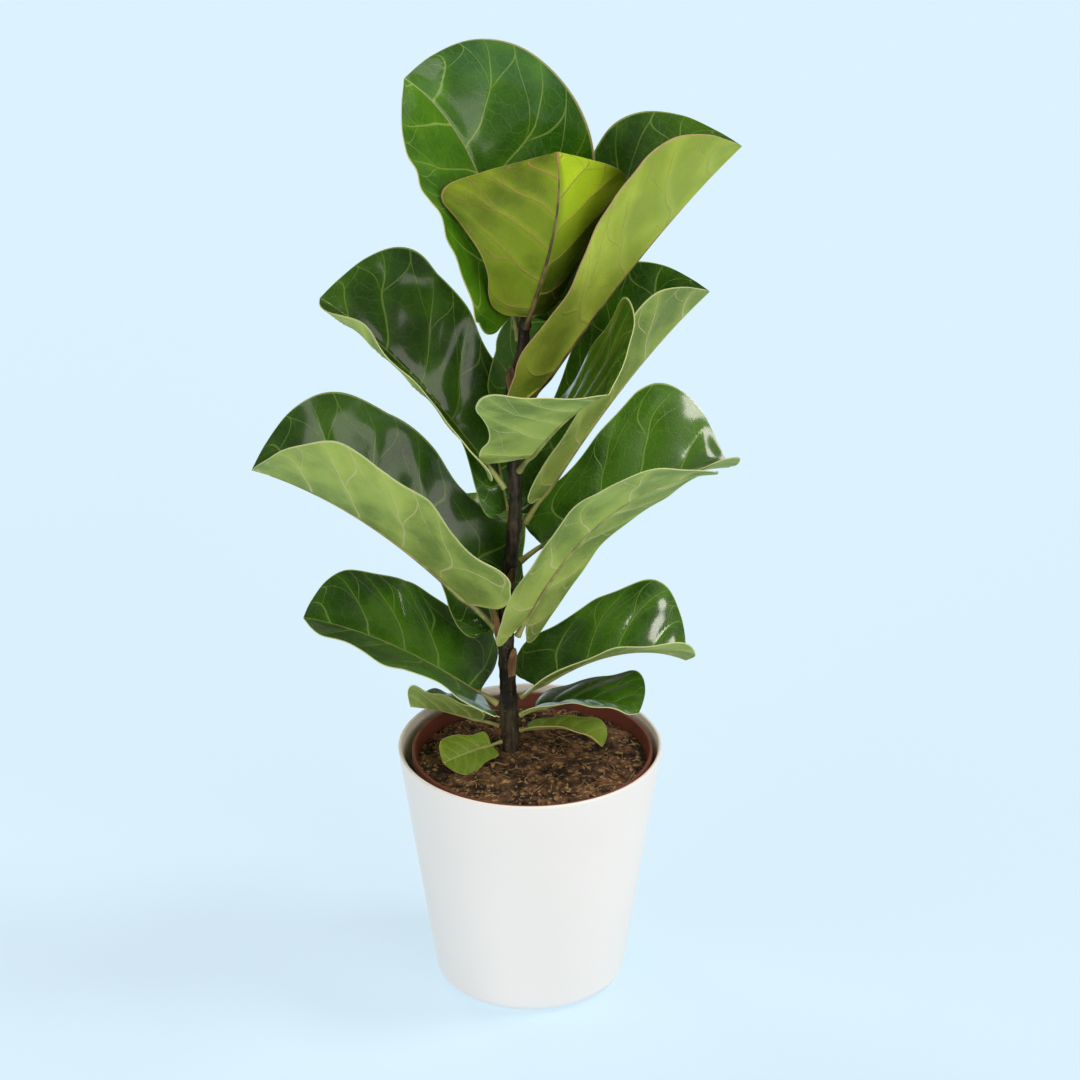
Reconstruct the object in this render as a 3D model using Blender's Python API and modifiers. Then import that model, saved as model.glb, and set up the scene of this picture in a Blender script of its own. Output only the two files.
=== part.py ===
"""Potted fiddle leaf fig: a young plant in its nursery pot, standing in a plain tapered cover pot.

Lengths are metres and Z is up. The origin is the centre of the cover pot's flat underside.
Each leaf is one closed loft: rings along its stalk widen into rows across its blade. A leaf is
described by the height of its node on the stem, the way it points and how it bends and folds.
"""

from dataclasses import dataclass
from math import asin, ceil, cos, hypot, pi, radians, sin, tan

import bmesh
import bpy
from mathutils import Quaternion, Vector, noise

MM = 0.001
GAP = 0.3 * MM
UP = Vector((0, 0, 1))
TURN_STEPS = 48

# Cover pot: a uniform wall whose lower corner is one large arc.
COVER_HEIGHT = 182 * MM
COVER_FOOT_RADIUS = 57.5 * MM
COVER_CORNER = 10 * MM
COVER_WALL = 2.6 * MM
COVER_TAPER = radians(8.4)
COVER_CORNER_POINTS = 6

# Nursery pot: thin, with a short outward lip and a floor raised on a ring foot.
NURSERY_OFFSET = 1.5 * MM
NURSERY_WALL = 1.2 * MM
NURSERY_TOP = 178.5 * MM
NURSERY_LIP_RADIUS = 85 * MM
NURSERY_LIP_WIDTH = 2.2 * MM
NURSERY_LIP_HEIGHT = 6 * MM
NURSERY_FOOT_RADIUS = 56 * MM
NURSERY_FOOT_WIDTH = 4 * MM
NURSERY_FOOT_HEIGHT = 3.5 * MM
DRAIN_HOLES = 8
DRAIN_RADIUS = 3.5 * MM
DRAIN_RING_RADIUS = 38 * MM

# Soil: fills the nursery pot to just below its lip, a little higher round the stem.
SOIL_EDGE = 168 * MM
SOIL_MOUND = 3 * MM
SOIL_BUMP = 1.2 * MM
SOIL_RINGS = 5
SOIL_RING_INSET = 13 * MM

# Stem: centre-line points (x, y, height) from its foot in the soil to its growing tip.
STEM_FOOT = 150 * MM
STEM_TIP = 508 * MM
STEM_FOOT_RADIUS = 6.6 * MM
STEM_TIP_RADIUS = 3.6 * MM
STEM_POINTS = [(-14, 12, 150), (-14, 12, 170), (-17, 12, 271), (-10, 10, 367), (-13, 8, 443), (-4, 6, 490), (-2, 4, 510)]
STEM_STEP = 7 * MM
NODE_SWELL = 0.6 * MM
NODE_HALF_LENGTH = 6 * MM
BUD_CLEARANCE = 0.8 * MM

# Leaves: every blade shares one outline, widest past the middle, with two lobes behind its base.
# A row is (how far along its margin end is, its half width, how far along it meets the midrib).
BLADE_ROWS = [
    (-0.030, 0.14, 0.004),
    (-0.060, 0.31, 0.012),
    (-0.045, 0.48, 0.030),
    (0.030, 0.61, 0.070),
    (0.140, 0.66, 0.140),
    (0.270, 0.66, 0.230),
    (0.400, 0.72, 0.340),
    (0.540, 0.86, 0.460),
    (0.680, 0.98, 0.580),
    (0.790, 1.00, 0.690),
    (0.880, 0.88, 0.790),
    (0.945, 0.62, 0.880),
    (0.982, 0.28, 0.950),
]
WAIST_END = 0.6
BLADE_HALF_COLUMNS = 3
BLADE_THICKNESS = 0.9 * MM
MIDRIB_DEPTH = 1.5 * MM
STALK_RADIUS = 2.2 * MM
STALK_RINGS = 4
PATH_STEPS = 60

MATURE_GREEN = (0.035, 0.115, 0.015)
YOUNG_GREEN = (0.26, 0.36, 0.05)


@dataclass(frozen=True)
class Leaf:
    """One leaf. Lengths are millimetres and angles are degrees.

    heading is the compass way it leaves the stem, from +X towards +Y, and rise its slope there.
    droop and sweep bend it down and to its left by its tip, late if bend is large. lean turns it
    sideways from the start. left and right fold its halves up, curl adds to the fold towards the
    margin, and twist rolls it along its length. lobe scales the basal lobes, waist the width near the
    base, and a belly over 1 moves the widest part towards the base.
    """

    name: str
    node: float
    heading: float
    rise: float
    length: float
    width: float
    stalk: float = 15
    droop: float = 0
    sweep: float = 0
    bend: float = 1.6
    lean: float = 0
    roll: float = 0
    twist: float = 0
    left: float = 15
    right: float = 15
    curl: float = 0
    wave: float = 2
    waves: float = 2.5
    lobe: float = 1
    belly: float = 1
    waist: float = 1
    colour: tuple = MATURE_GREEN


LEAVES = [
    Leaf("leaf_top_left", node=485, heading=118, rise=70, length=180, width=160, stalk=20, droop=5,
         sweep=48, bend=2.2, left=22, right=8, curl=18, belly=1.8),
    Leaf("leaf_top_right", node=430, heading=20, rise=53, length=212, width=146, stalk=26, droop=13,
         left=30, right=47, curl=16, lobe=2.2, belly=1.15, colour=YOUNG_GREEN),
    Leaf("leaf_top_front", node=500, heading=-88, rise=78, length=122, width=154, stalk=10,
         droop=-45, sweep=-24, bend=3, lean=15, left=43, right=0, curl=6, lobe=0.4,
         belly=1.25, waist=0.5, colour=YOUNG_GREEN),
    Leaf("leaf_left_upper", node=375, heading=165, rise=53, length=164, width=132, stalk=20,
         droop=22, left=10, right=32, curl=18, lobe=0.4, waist=1.3),
    Leaf("leaf_right_upper", node=348, heading=18, rise=56, length=184, width=115, stalk=22,
         droop=16, left=34, right=42, curl=14, lobe=0.5, waist=0.75),
    Leaf("leaf_centre", node=392, heading=-60, rise=48, length=134, width=156, stalk=22, droop=18,
         left=38, right=0, curl=14, lobe=0.1, waist=0.8),
    Leaf("leaf_left_middle", node=268, heading=178, rise=47, length=182, width=148, stalk=25,
         droop=30, left=36, right=42, curl=18, lobe=0.9, belly=1.25, waist=1.3),
    Leaf("leaf_right_middle", node=318, heading=20, rise=32, length=146, width=138, stalk=20,
         droop=38, left=34, right=23, curl=8, lobe=0.3, waist=0.6),
    Leaf("leaf_right_inner", node=262, heading=-14, rise=66, length=192, width=110, stalk=16,
         droop=54, roll=-38, twist=11, left=0, right=-4, curl=6, lobe=2, waist=0.75),
    Leaf("leaf_left_lower", node=208, heading=185, rise=38, length=139, width=118, stalk=16,
         droop=24, left=0, right=14, curl=12, belly=1.8, waist=1.7),
    Leaf("leaf_right_lower", node=212, heading=8, rise=34, length=112, width=112, droop=62,
         left=28, right=26, curl=6, lobe=1.5),
    Leaf("leaf_right_low", node=200, heading=-20, rise=32, length=80, width=75, stalk=14, droop=54,
         left=2, right=16, curl=6),
    Leaf("leaf_right_small", node=188, heading=-25, rise=25, length=60, width=28, stalk=8,
         droop=60, left=20, right=25, wave=1, colour=YOUNG_GREEN),
    Leaf("leaf_front_small", node=179, heading=212, rise=0, length=40, width=34, stalk=8, droop=10,
         roll=-30, left=5, right=5, wave=1, lobe=0.3, belly=1.3, colour=YOUNG_GREEN),
    Leaf("leaf_back_low", node=188, heading=160, rise=10, length=54, width=60, stalk=14, droop=16,
         left=55, right=0),
    Leaf("leaf_back_left", node=240, heading=110, rise=44, length=110, width=90, stalk=24,
         droop=20, left=5, right=10),
    Leaf("leaf_back_middle", node=345, heading=110, rise=58, length=110, width=70, stalk=12,
         droop=20),
]


def clear_scene():
    for obj in list(bpy.data.objects):
        bpy.data.objects.remove(obj, do_unlink=True)


def collection(name, helper=False):
    """A new collection in the scene. A helper collection is left out of renders."""
    made = bpy.data.collections.new(name)
    made.hide_render = helper
    bpy.context.scene.collection.children.link(made)
    return made


def material(name, colour, roughness):
    made = bpy.data.materials.new(name)
    made.use_nodes = True
    shader = made.node_tree.nodes["Principled BSDF"]
    shader.inputs["Base Color"].default_value = (*colour, 1)
    shader.inputs["Roughness"].default_value = roughness
    made.diffuse_color = (*colour, 1)
    return made


def add_object(name, data, home, colour=None, roughness=0.5):
    obj = bpy.data.objects.new(name, data)
    if colour:
        data.materials.append(material(name, colour, roughness))
    home.objects.link(obj)
    return obj


def mesh_from(bm, name):
    """The bmesh as a mesh with its normals facing out."""
    bmesh.ops.recalc_face_normals(bm, faces=bm.faces)
    mesh = bpy.data.meshes.new(name)
    bm.to_mesh(mesh)
    bm.free()
    return mesh


def turned(name, profile, home, colour, roughness):
    """A solid of revolution from (radius, height) points that run down its outer side."""
    mesh = bpy.data.meshes.new(name)
    edges = [(i, i + 1) for i in range(len(profile) - 1)]
    mesh.from_pydata([(radius, 0, height) for radius, height in profile], edges, [])
    obj = add_object(name, mesh, home, colour, roughness)
    screw = obj.modifiers.new("turn", "SCREW")
    screw.steps = screw.render_steps = TURN_STEPS
    screw.use_merge_vertices = True
    screw.merge_threshold = 0.01 * MM
    return obj


def arc(centre, radius, start, end, points):
    """(radius, height) points along an arc, with both its ends. Angles are in radians."""
    angles = [start + (end - start) * i / (points - 1) for i in range(points)]
    return [(centre[0] + radius * cos(a), centre[1] + radius * sin(a)) for a in angles]


def cover_wall_radius(height):
    """The outside radius of the cover pot's wall at this height, above its rounded corner."""
    start = COVER_CORNER * (1 - sin(COVER_TAPER))
    return COVER_FOOT_RADIUS + COVER_CORNER * cos(COVER_TAPER) + (height - start) * tan(COVER_TAPER)


def build_cover_pot(home):
    centre = (COVER_FOOT_RADIUS, COVER_CORNER)
    lip = COVER_WALL / 2
    lip_centre = (cover_wall_radius(COVER_HEIGHT) - lip, COVER_HEIGHT - lip)
    inner_corner = arc(centre, COVER_CORNER - COVER_WALL, -pi / 2, -COVER_TAPER, COVER_CORNER_POINTS)
    outer_corner = arc(centre, COVER_CORNER, -COVER_TAPER, -pi / 2, COVER_CORNER_POINTS)
    rim = arc(lip_centre, lip, pi - COVER_TAPER, -COVER_TAPER, 5)
    profile = [(0, COVER_WALL), *inner_corner, *rim, *outer_corner, (0, 0)]
    turned("cover_pot", profile, home, (0.78, 0.77, 0.76), 0.35)


def nursery_inner_radius(height):
    """The inside radius of the nursery pot's straight wall at this height."""
    foot = NURSERY_FOOT_RADIUS - NURSERY_WALL
    top = NURSERY_LIP_RADIUS - NURSERY_LIP_WIDTH
    along = (height - nursery_floor()) / (NURSERY_TOP - nursery_floor())
    return foot + (top - foot) * along


def nursery_floor():
    """The height of the nursery pot's floor, on its upper side."""
    return COVER_WALL + GAP + NURSERY_FOOT_HEIGHT + NURSERY_WALL


def build_nursery_pot(home, cutters):
    foot = COVER_WALL + GAP
    under = foot + NURSERY_FOOT_HEIGHT
    top = NURSERY_TOP
    lip_foot = top - NURSERY_LIP_HEIGHT
    profile = [
        (0, nursery_floor()),
        (nursery_inner_radius(nursery_floor()), nursery_floor()),
        (nursery_inner_radius(top), top),
        (NURSERY_LIP_RADIUS, top),
        (NURSERY_LIP_RADIUS, lip_foot),
        (nursery_inner_radius(lip_foot) + NURSERY_WALL, lip_foot),
        (NURSERY_FOOT_RADIUS, foot),
        (NURSERY_FOOT_RADIUS - NURSERY_FOOT_WIDTH, foot),
        (NURSERY_FOOT_RADIUS - NURSERY_FOOT_WIDTH, under),
        (0, under),
    ]
    pot = turned("nursery_pot", profile, home, (0.20, 0.052, 0.032), 0.5)
    pot.location.x = NURSERY_OFFSET
    drains = bmesh.new()
    for i in range(DRAIN_HOLES):
        made = bmesh.ops.create_cone(drains, cap_ends=True, segments=16, radius1=DRAIN_RADIUS,
                                     radius2=DRAIN_RADIUS, depth=4 * NURSERY_WALL)
        place = Quaternion(UP, 2 * pi * i / DRAIN_HOLES) @ Vector((DRAIN_RING_RADIUS, 0, 0))
        place += Vector((NURSERY_OFFSET, 0, nursery_floor() - NURSERY_WALL / 2))
        bmesh.ops.translate(drains, verts=made["verts"], vec=place)
    cut(pot, add_object("drain_cutter", mesh_from(drains, "drain_cutter"), cutters))


def cut(obj, cutter):
    cutter.display_type = "WIRE"
    cutter.hide_render = True
    boolean = obj.modifiers.new("cut", "BOOLEAN")
    boolean.operation = "DIFFERENCE"
    boolean.solver = "EXACT"
    boolean.object = cutter


def soil_height(x, y):
    """The soil's surface: a low mound with small bumps, level at the pot's wall."""
    edge = nursery_inner_radius(SOIL_EDGE)
    inward = max(0.0, 1 - (hypot(x, y) / edge) ** 2)
    bump = noise.noise(Vector((x, y, 0)) / (14 * MM)) * min(1.0, 4 * inward)
    return SOIL_EDGE + SOIL_MOUND * inward + SOIL_BUMP * bump


def build_soil(home, cutters):
    floor = nursery_floor() + GAP
    depth = SOIL_EDGE - floor
    clearance = 1.5 * GAP
    bm = bmesh.new()
    bmesh.ops.create_cone(bm, cap_ends=True, segments=TURN_STEPS, depth=depth,
                          radius1=nursery_inner_radius(floor) - clearance,
                          radius2=nursery_inner_radius(SOIL_EDGE) - clearance)
    bmesh.ops.translate(bm, verts=bm.verts, vec=(0, 0, floor + depth / 2))
    top = [face for face in bm.faces if face.normal.z > 0.9]
    for _ in range(SOIL_RINGS):
        bmesh.ops.inset_region(bm, faces=top, thickness=SOIL_RING_INSET, use_even_offset=True)
    bmesh.ops.poke(bm, faces=top)
    for vert in bm.verts:
        if vert.co.z > SOIL_EDGE - 0.1 * MM:
            vert.co.z = soil_height(vert.co.x, vert.co.y)
    soil = add_object("soil", mesh_from(bm, "soil"), home, (0.035, 0.022, 0.014), 0.95)
    soil.location.x = NURSERY_OFFSET
    hole = bmesh.new()
    bmesh.ops.create_cone(hole, cap_ends=True, segments=24, depth=60 * MM,
                          radius1=STEM_FOOT_RADIUS + 1.2 * MM, radius2=STEM_FOOT_RADIUS + 1.2 * MM)
    foot = stem_centre(STEM_FOOT)
    bmesh.ops.translate(hole, verts=hole.verts, vec=(foot.x, foot.y, STEM_FOOT - GAP + 30 * MM))
    cut(soil, add_object("stem_hole_cutter", mesh_from(hole, "stem_hole_cutter"), cutters))


def stem_centre(height):
    """The stem's centre at this height, eased between the hand-set points."""
    for low, high in zip(STEM_POINTS, STEM_POINTS[1:]):
        if height <= high[2] * MM or high is STEM_POINTS[-1]:
            along = min(1.0, (height - low[2] * MM) / ((high[2] - low[2]) * MM))
            eased = (1 - cos(pi * along)) / 2
            spot = Vector(low[:2]).lerp(Vector(high[:2]), eased) * MM
            return Vector((spot.x, spot.y, height))


def stem_radius(height):
    """The stem's radius at this height, thicker at each leaf's node."""
    along = (height - STEM_FOOT) / (STEM_TIP - STEM_FOOT)
    radius = STEM_FOOT_RADIUS + (STEM_TIP_RADIUS - STEM_FOOT_RADIUS) * along
    near = min(abs(height - leaf.node * MM) for leaf in LEAVES)
    return radius + NODE_SWELL * max(0.0, 1 - near / NODE_HALF_LENGTH)


def build_stem(home):
    count = ceil((STEM_TIP - STEM_FOOT) / STEM_STEP)
    heights = [STEM_FOOT + (STEM_TIP - STEM_FOOT) * i / count for i in range(count + 1)]
    curve = bpy.data.curves.new("stem", "CURVE")
    curve.dimensions = "3D"
    curve.bevel_depth = 1 * MM
    curve.bevel_resolution = 3
    curve.use_fill_caps = True
    spline = curve.splines.new("POLY")
    spline.points.add(count)
    for point, height in zip(spline.points, heights):
        point.co = (*stem_centre(height), 1)
        point.radius = stem_radius(height) / MM
    add_object("stem", curve, home, (0.035, 0.022, 0.018), 0.7)


def build_terminal_bud(home):
    """The pointed bud, still wrapped in its dry sheath, on the stem's tip."""
    profile = [(0, 26), (1.2, 22), (2.6, 14), (3.4, 7), (3.1, 2), (2.4, 0), (0, 0)]
    bud = turned("terminal_bud", [(r * MM, h * MM) for r, h in profile], home, (0.16, 0.085, 0.045), 0.8)
    bud.modifiers["turn"].steps = bud.modifiers["turn"].render_steps = 16
    bud.location = stem_centre(STEM_TIP) + UP * BUD_CLEARANCE


def leaf_path(leaf):
    """Points and frames (along, right, up) down the leaf's centre line, evenly spaced."""
    heading = Vector((cos(radians(leaf.heading)), sin(radians(leaf.heading)), 0))
    side = Vector((heading.y, -heading.x, 0))
    along = heading * cos(radians(leaf.rise)) + UP * sin(radians(leaf.rise))
    up = side.cross(along)
    lean = Quaternion(up, radians(leaf.lean))
    along, side = lean @ along, lean @ side
    height = leaf.node * MM
    reach = stem_radius(height) + GAP + STALK_RADIUS * sin(radians(leaf.rise))
    point = stem_centre(height) + heading * reach
    step = (leaf.stalk + leaf.length) * MM / PATH_STEPS
    path = []
    for i in range(PATH_STEPS + 1):
        bent = (i / PATH_STEPS) ** leaf.bend
        turn = Quaternion(up, radians(leaf.sweep) * bent) @ Quaternion(side, -radians(leaf.droop) * bent)
        rolled = Quaternion(turn @ along, radians(leaf.roll + leaf.twist * i / PATH_STEPS)) @ turn
        path.append((point.copy(), rolled @ along, rolled @ side, rolled @ up))
        point += (rolled @ along) * step
    return path


def path_at(path, leaf, distance):
    """The path's point and frame at this distance past the blade's base, in millimetres."""
    place = (leaf.stalk + distance) / (leaf.stalk + leaf.length) * PATH_STEPS
    low = min(max(int(place), 0), PATH_STEPS - 1)
    blend = min(max(place - low, 0.0), 1.0)
    return [a.lerp(b, blend) for a, b in zip(path[low], path[low + 1])]


def blade_point(path, leaf, row, across):
    """(point, unit normal) on the blade's middle surface. across runs from -1, left, to 1."""
    margin, half, attach = row
    margin = margin * leaf.lobe if margin < 0 else margin**leaf.belly
    half *= 1 + (leaf.waist - 1) * max(0.0, 1 - attach / WAIST_END)
    distance = (attach + (margin - attach) * abs(across)) * leaf.length
    reach = half * leaf.width / 2 * abs(across)
    point, _, side, up = path_at(path, leaf, distance)
    share = half * abs(across)
    fold = radians((leaf.left if across < 0 else leaf.right) + leaf.curl * share)
    out = side if across >= 0 else -side
    phase = 2 * pi * leaf.waves * distance / leaf.length + (1.3 if across < 0 else 0)
    lift = reach * sin(fold) + leaf.wave * share**2 * sin(phase)
    normal = up if across == 0 else (up * cos(fold) - out * sin(fold))
    return point + (out * reach * cos(fold) + up * lift) * MM, normal.normalized()


def blade_ring(path, leaf, row):
    """The row's closed section: its upper side left to right, then its lower side back."""
    columns = [i / BLADE_HALF_COLUMNS for i in range(-BLADE_HALF_COLUMNS, BLADE_HALF_COLUMNS + 1)]
    upper, lower = [], []
    for across in columns:
        point, normal = blade_point(path, leaf, row, across)
        rib = MIDRIB_DEPTH * (1 - row[2]) if across == 0 else 0
        upper.append(point + normal * BLADE_THICKNESS / 2)
        lower.append(point - normal * (BLADE_THICKNESS / 2 + rib))
    return upper + lower[::-1]


def stalk_ring(path, leaf, distance, radius):
    """A round section of the stalk, with as many points as a row of the blade."""
    point, _, side, up = path_at(path, leaf, distance)
    count = 2 * (2 * BLADE_HALF_COLUMNS + 1)
    angles = [pi - (i + 0.5) * 2 * pi / count for i in range(count)]
    return [point + (side * cos(a) + up * sin(a)) * radius for a in angles]


def loft(rings, tip):
    """A closed bmesh through these rings, capped at its first ring and drawn to a point."""
    bm = bmesh.new()
    loops = [[bm.verts.new(point) for point in ring] for ring in rings]
    count = len(loops[0])
    for near, far in zip(loops, loops[1:]):
        for i in range(count):
            j = (i + 1) % count
            bm.faces.new((near[i], near[j], far[j], far[i]))
    end = bm.verts.new(tip)
    for i in range(count):
        bm.faces.new((loops[-1][i], loops[-1][(i + 1) % count], end))
    bm.faces.new(loops[0][::-1])
    bmesh.ops.triangulate(bm, faces=bm.faces)
    return bm


def build_leaf(leaf, home):
    path = leaf_path(leaf)
    rings = []
    for i in range(STALK_RINGS):
        along = i / (STALK_RINGS - 1)
        rings.append(stalk_ring(path, leaf, leaf.stalk * (along - 1), STALK_RADIUS * (1 - 0.25 * along)))
    rings += [blade_ring(path, leaf, row) for row in BLADE_ROWS]
    tip = path_at(path, leaf, leaf.length)[0]
    add_object(leaf.name, mesh_from(loft(rings, tip), leaf.name), home, leaf.colour, 0.4)


def main():
    clear_scene()
    parts = collection("potted_fiddle_leaf_fig")
    cutters = collection("cutters", helper=True)
    build_cover_pot(parts)
    build_nursery_pot(parts, cutters)
    build_soil(parts, cutters)
    build_stem(parts)
    build_terminal_bud(parts)
    for leaf in LEAVES:
        build_leaf(leaf, parts)


main()
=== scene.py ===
"""Potted fiddle leaf fig: the looks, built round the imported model.

Lengths are metres and Z is up. The origin is the centre of the cover pot's flat underside.
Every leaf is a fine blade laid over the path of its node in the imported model, puffed up between
its side veins, with a stalk that runs on below the blade as its midrib.
"""

from __future__ import annotations

import logging
import random
from dataclasses import dataclass, field
from enum import Enum
from math import atan2, cos, exp, hypot, pi, radians, sin, sqrt, tan
from typing import Any

import bpy
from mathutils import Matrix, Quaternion, Vector, noise


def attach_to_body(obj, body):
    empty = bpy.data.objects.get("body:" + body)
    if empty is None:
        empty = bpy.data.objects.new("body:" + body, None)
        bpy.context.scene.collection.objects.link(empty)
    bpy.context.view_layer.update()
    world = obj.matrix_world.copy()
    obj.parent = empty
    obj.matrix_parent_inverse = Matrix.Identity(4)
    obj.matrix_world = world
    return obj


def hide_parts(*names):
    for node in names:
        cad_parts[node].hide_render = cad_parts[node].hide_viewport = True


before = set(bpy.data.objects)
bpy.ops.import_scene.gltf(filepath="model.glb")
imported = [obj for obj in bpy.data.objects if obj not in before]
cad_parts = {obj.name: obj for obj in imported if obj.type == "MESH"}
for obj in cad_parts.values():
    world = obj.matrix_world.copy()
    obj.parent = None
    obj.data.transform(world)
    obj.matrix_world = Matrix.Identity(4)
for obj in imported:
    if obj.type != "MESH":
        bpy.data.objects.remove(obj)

logging.basicConfig(level=logging.INFO, format="%(message)s")
log = logging.getLogger("potted_fig")

MM = 0.001
UP = Vector((0, 0, 1))
BODY = "root"
Profile = list[tuple[float, float]]
Colour = tuple[float, float, float, float]
Path = list[tuple[Vector, Vector, Vector, Vector]]
# The blade's own map counts in units of this many millimetres.
UV_SPAN = 100.0
# Edges sharper than this many degrees stay sharp: on turned walls, on grown forms, and on leaves.
TURNED_EDGE = 35
GROWN_EDGE = 50
LEAF_EDGE = 60


# ---------------------------------------------------------------- shared helpers


def linear(code: str) -> Colour:
    """Turn an sRGB hex colour into linear values.

    Args:
        code: Six hex digits, with or without a leading #.

    Returns:
        Red, green, blue and an alpha of 1.
    """
    code = code.lstrip("#")
    parts = [int(code[i : i + 2], 16) / 255 for i in (0, 2, 4)]
    made = [p / 12.92 if p <= 0.04045 else ((p + 0.055) / 1.055) ** 2.4 for p in parts]
    return (made[0], made[1], made[2], 1.0)


def smooth(value: float, low: float, high: float) -> float:
    """Ease a value from 0 at low to 1 at high.

    Args:
        value: The number to place.
        low: Where the result is 0.
        high: Where the result is 1.

    Returns:
        The eased share.
    """
    share = min(max((value - low) / (high - low), 0.0), 1.0)
    return share * share * (3 - 2 * share)


def deselect() -> None:
    """Leave object mode ready for the next operator, with nothing selected."""
    if bpy.context.mode != "OBJECT":
        bpy.ops.object.mode_set(mode="OBJECT")
    bpy.ops.object.select_all(action="DESELECT")


def take(obj: bpy.types.Object) -> None:
    """Select one object alone and make it active."""
    deselect()
    obj.select_set(True)
    bpy.context.view_layer.objects.active = obj


def edit(obj: bpy.types.Object, mode: str) -> None:
    """Open one object in edit mode with nothing selected, in VERT, EDGE or FACE mode."""
    take(obj)
    bpy.ops.object.mode_set(mode="EDIT")
    bpy.ops.mesh.select_mode(type=mode)
    bpy.ops.mesh.select_all(action="DESELECT")


def apply_modifiers(obj: bpy.types.Object) -> None:
    """Apply every modifier of an object, first to last."""
    take(obj)
    for name in [modifier.name for modifier in obj.modifiers]:
        bpy.ops.object.modifier_apply(modifier=name)


def clean(obj: bpy.types.Object, gap: float = 0.01 * MM) -> None:
    """Merge doubled points, then turn every face outwards."""
    take(obj)
    bpy.ops.object.mode_set(mode="EDIT")
    bpy.ops.mesh.select_all(action="SELECT")
    bpy.ops.mesh.remove_doubles(threshold=gap)
    bpy.ops.mesh.normals_make_consistent(inside=False)
    bpy.ops.object.mode_set(mode="OBJECT")


def soften(obj: bpy.types.Object, degrees: float) -> None:
    """Shade an object smooth, apart from edges sharper than this angle."""
    take(obj)
    bpy.ops.object.shade_smooth_by_angle(angle=radians(degrees))


def settle(obj: bpy.types.Object) -> None:
    """Put an object's place, turn and scale into its mesh."""
    take(obj)
    bpy.ops.object.transform_apply(location=True, rotation=True, scale=True)


def join(pieces: list[bpy.types.Object], name: str) -> bpy.types.Object:
    """Join several objects into the first one.

    Args:
        pieces: The objects, of which the first keeps its materials in front.
        name: The name of the joined piece.

    Returns:
        The joined object.
    """
    take(pieces[0])
    for piece in pieces:
        piece.select_set(True)
    bpy.ops.object.join()
    made = bpy.context.view_layer.objects.active
    made.name = made.data.name = name
    return made


def declare(piece: bpy.types.Object, slot: str, *nodes: str) -> None:
    """Attach a new piece to the body, hide the imported nodes that it stands for, and log its
    faces.
    """
    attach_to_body(piece, BODY)
    if nodes:
        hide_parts(*nodes)
    log.info("%s: %d faces", piece.name, len(piece.data.polygons))


def dress(obj: bpy.types.Object, *materials: bpy.types.Material) -> None:
    """Give an object these materials and no others, in order."""
    obj.data.materials.clear()
    for material in materials:
        obj.data.materials.append(material)


def tube(name: str, points: list[Vector], radii: list[float], sides: int) -> bpy.types.Object:
    """Make a closed round tube along a line of points.

    Args:
        name: The object's name.
        points: The centre line.
        radii: The radius at each point.
        sides: How many quarter segments its section has.

    Returns:
        The tube as a mesh object.
    """
    deselect()
    curve = bpy.data.curves.new(name, "CURVE")
    curve.dimensions = "3D"
    curve.bevel_depth = 1.0
    curve.bevel_resolution = sides
    curve.use_fill_caps = True
    spline = curve.splines.new("POLY")
    spline.points.add(len(points) - 1)
    for spot, place, radius in zip(spline.points, points, radii):
        spot.co = (*place, 1)
        spot.radius = radius
    obj = bpy.data.objects.new(name, curve)
    bpy.context.scene.collection.objects.link(obj)
    take(obj)
    bpy.ops.object.convert(target="MESH")
    clean(obj)
    return obj


def spun(name: str, profile: Profile, steps: int, centre_x: float = 0.0) -> bpy.types.Object:
    """Turn a profile round a vertical axis, as on a lathe.

    Args:
        name: The object's name.
        profile: (radius, height) points. A solid's profile starts and ends on the axis.
        steps: How many segments go round.
        centre_x: How far along X the axis stands.

    Returns:
        The closed solid as a mesh object.
    """
    deselect()
    bpy.ops.mesh.primitive_plane_add(size=1 * MM)
    obj = bpy.context.active_object
    obj.name = obj.data.name = name
    bpy.ops.object.mode_set(mode="EDIT")
    bpy.ops.mesh.select_mode(type="VERT")
    bpy.ops.mesh.select_all(action="SELECT")
    bpy.ops.mesh.merge(type="CENTER")
    bpy.ops.transform.translate(value=(profile[0][0], 0, profile[0][1]))
    for (r0, z0), (r1, z1) in zip(profile, profile[1:]):
        bpy.ops.mesh.extrude_region_move(TRANSFORM_OT_translate={"value": (r1 - r0, 0, z1 - z0)})
    bpy.ops.mesh.select_all(action="SELECT")
    bpy.ops.mesh.spin(steps=steps, angle=2 * pi, center=(0, 0, 0), axis=(0, 0, 1))
    bpy.ops.object.mode_set(mode="OBJECT")
    obj.location.x = centre_x
    settle(obj)
    clean(obj)
    return obj


def arc(
    centre: tuple[float, float], radius: float, start: float, end: float, points: int
) -> Profile:
    """List (radius, height) points along an arc.

    Args:
        centre: The arc's centre as (radius, height).
        radius: The arc's own radius.
        start: Its first angle, in degrees.
        end: Its last angle, in degrees.
        points: How many points it has, with both its ends.

    Returns:
        The points.
    """
    angles = [radians(start + (end - start) * i / (points - 1)) for i in range(points)]
    return [(centre[0] + radius * cos(a), centre[1] + radius * sin(a)) for a in angles]


def spline_at(rows: list[tuple[float, ...]], place: float) -> list[float]:
    """Read a smooth curve through evenly numbered rows of values.

    Args:
        rows: The rows that the curve passes through.
        place: Where to read, from 0 at the first row to 1 at the last.

    Returns:
        The values there.
    """
    spot = place * (len(rows) - 1)
    low = min(int(spot), len(rows) - 2)
    t = spot - low
    a, b = rows[max(low - 1, 0)], rows[low]
    c, d = rows[low + 1], rows[min(low + 2, len(rows) - 1)]
    out = []
    for p0, p1, p2, p3 in zip(a, b, c, d):
        bend = (2 * p0 - 5 * p1 + 4 * p2 - p3) * t * t + (3 * p1 - p0 - 3 * p2 + p3) * t**3
        out.append(0.5 * (2 * p1 + (p2 - p0) * t + bend))
    return out


# ---------------------------------------------------------------- finishes


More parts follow.
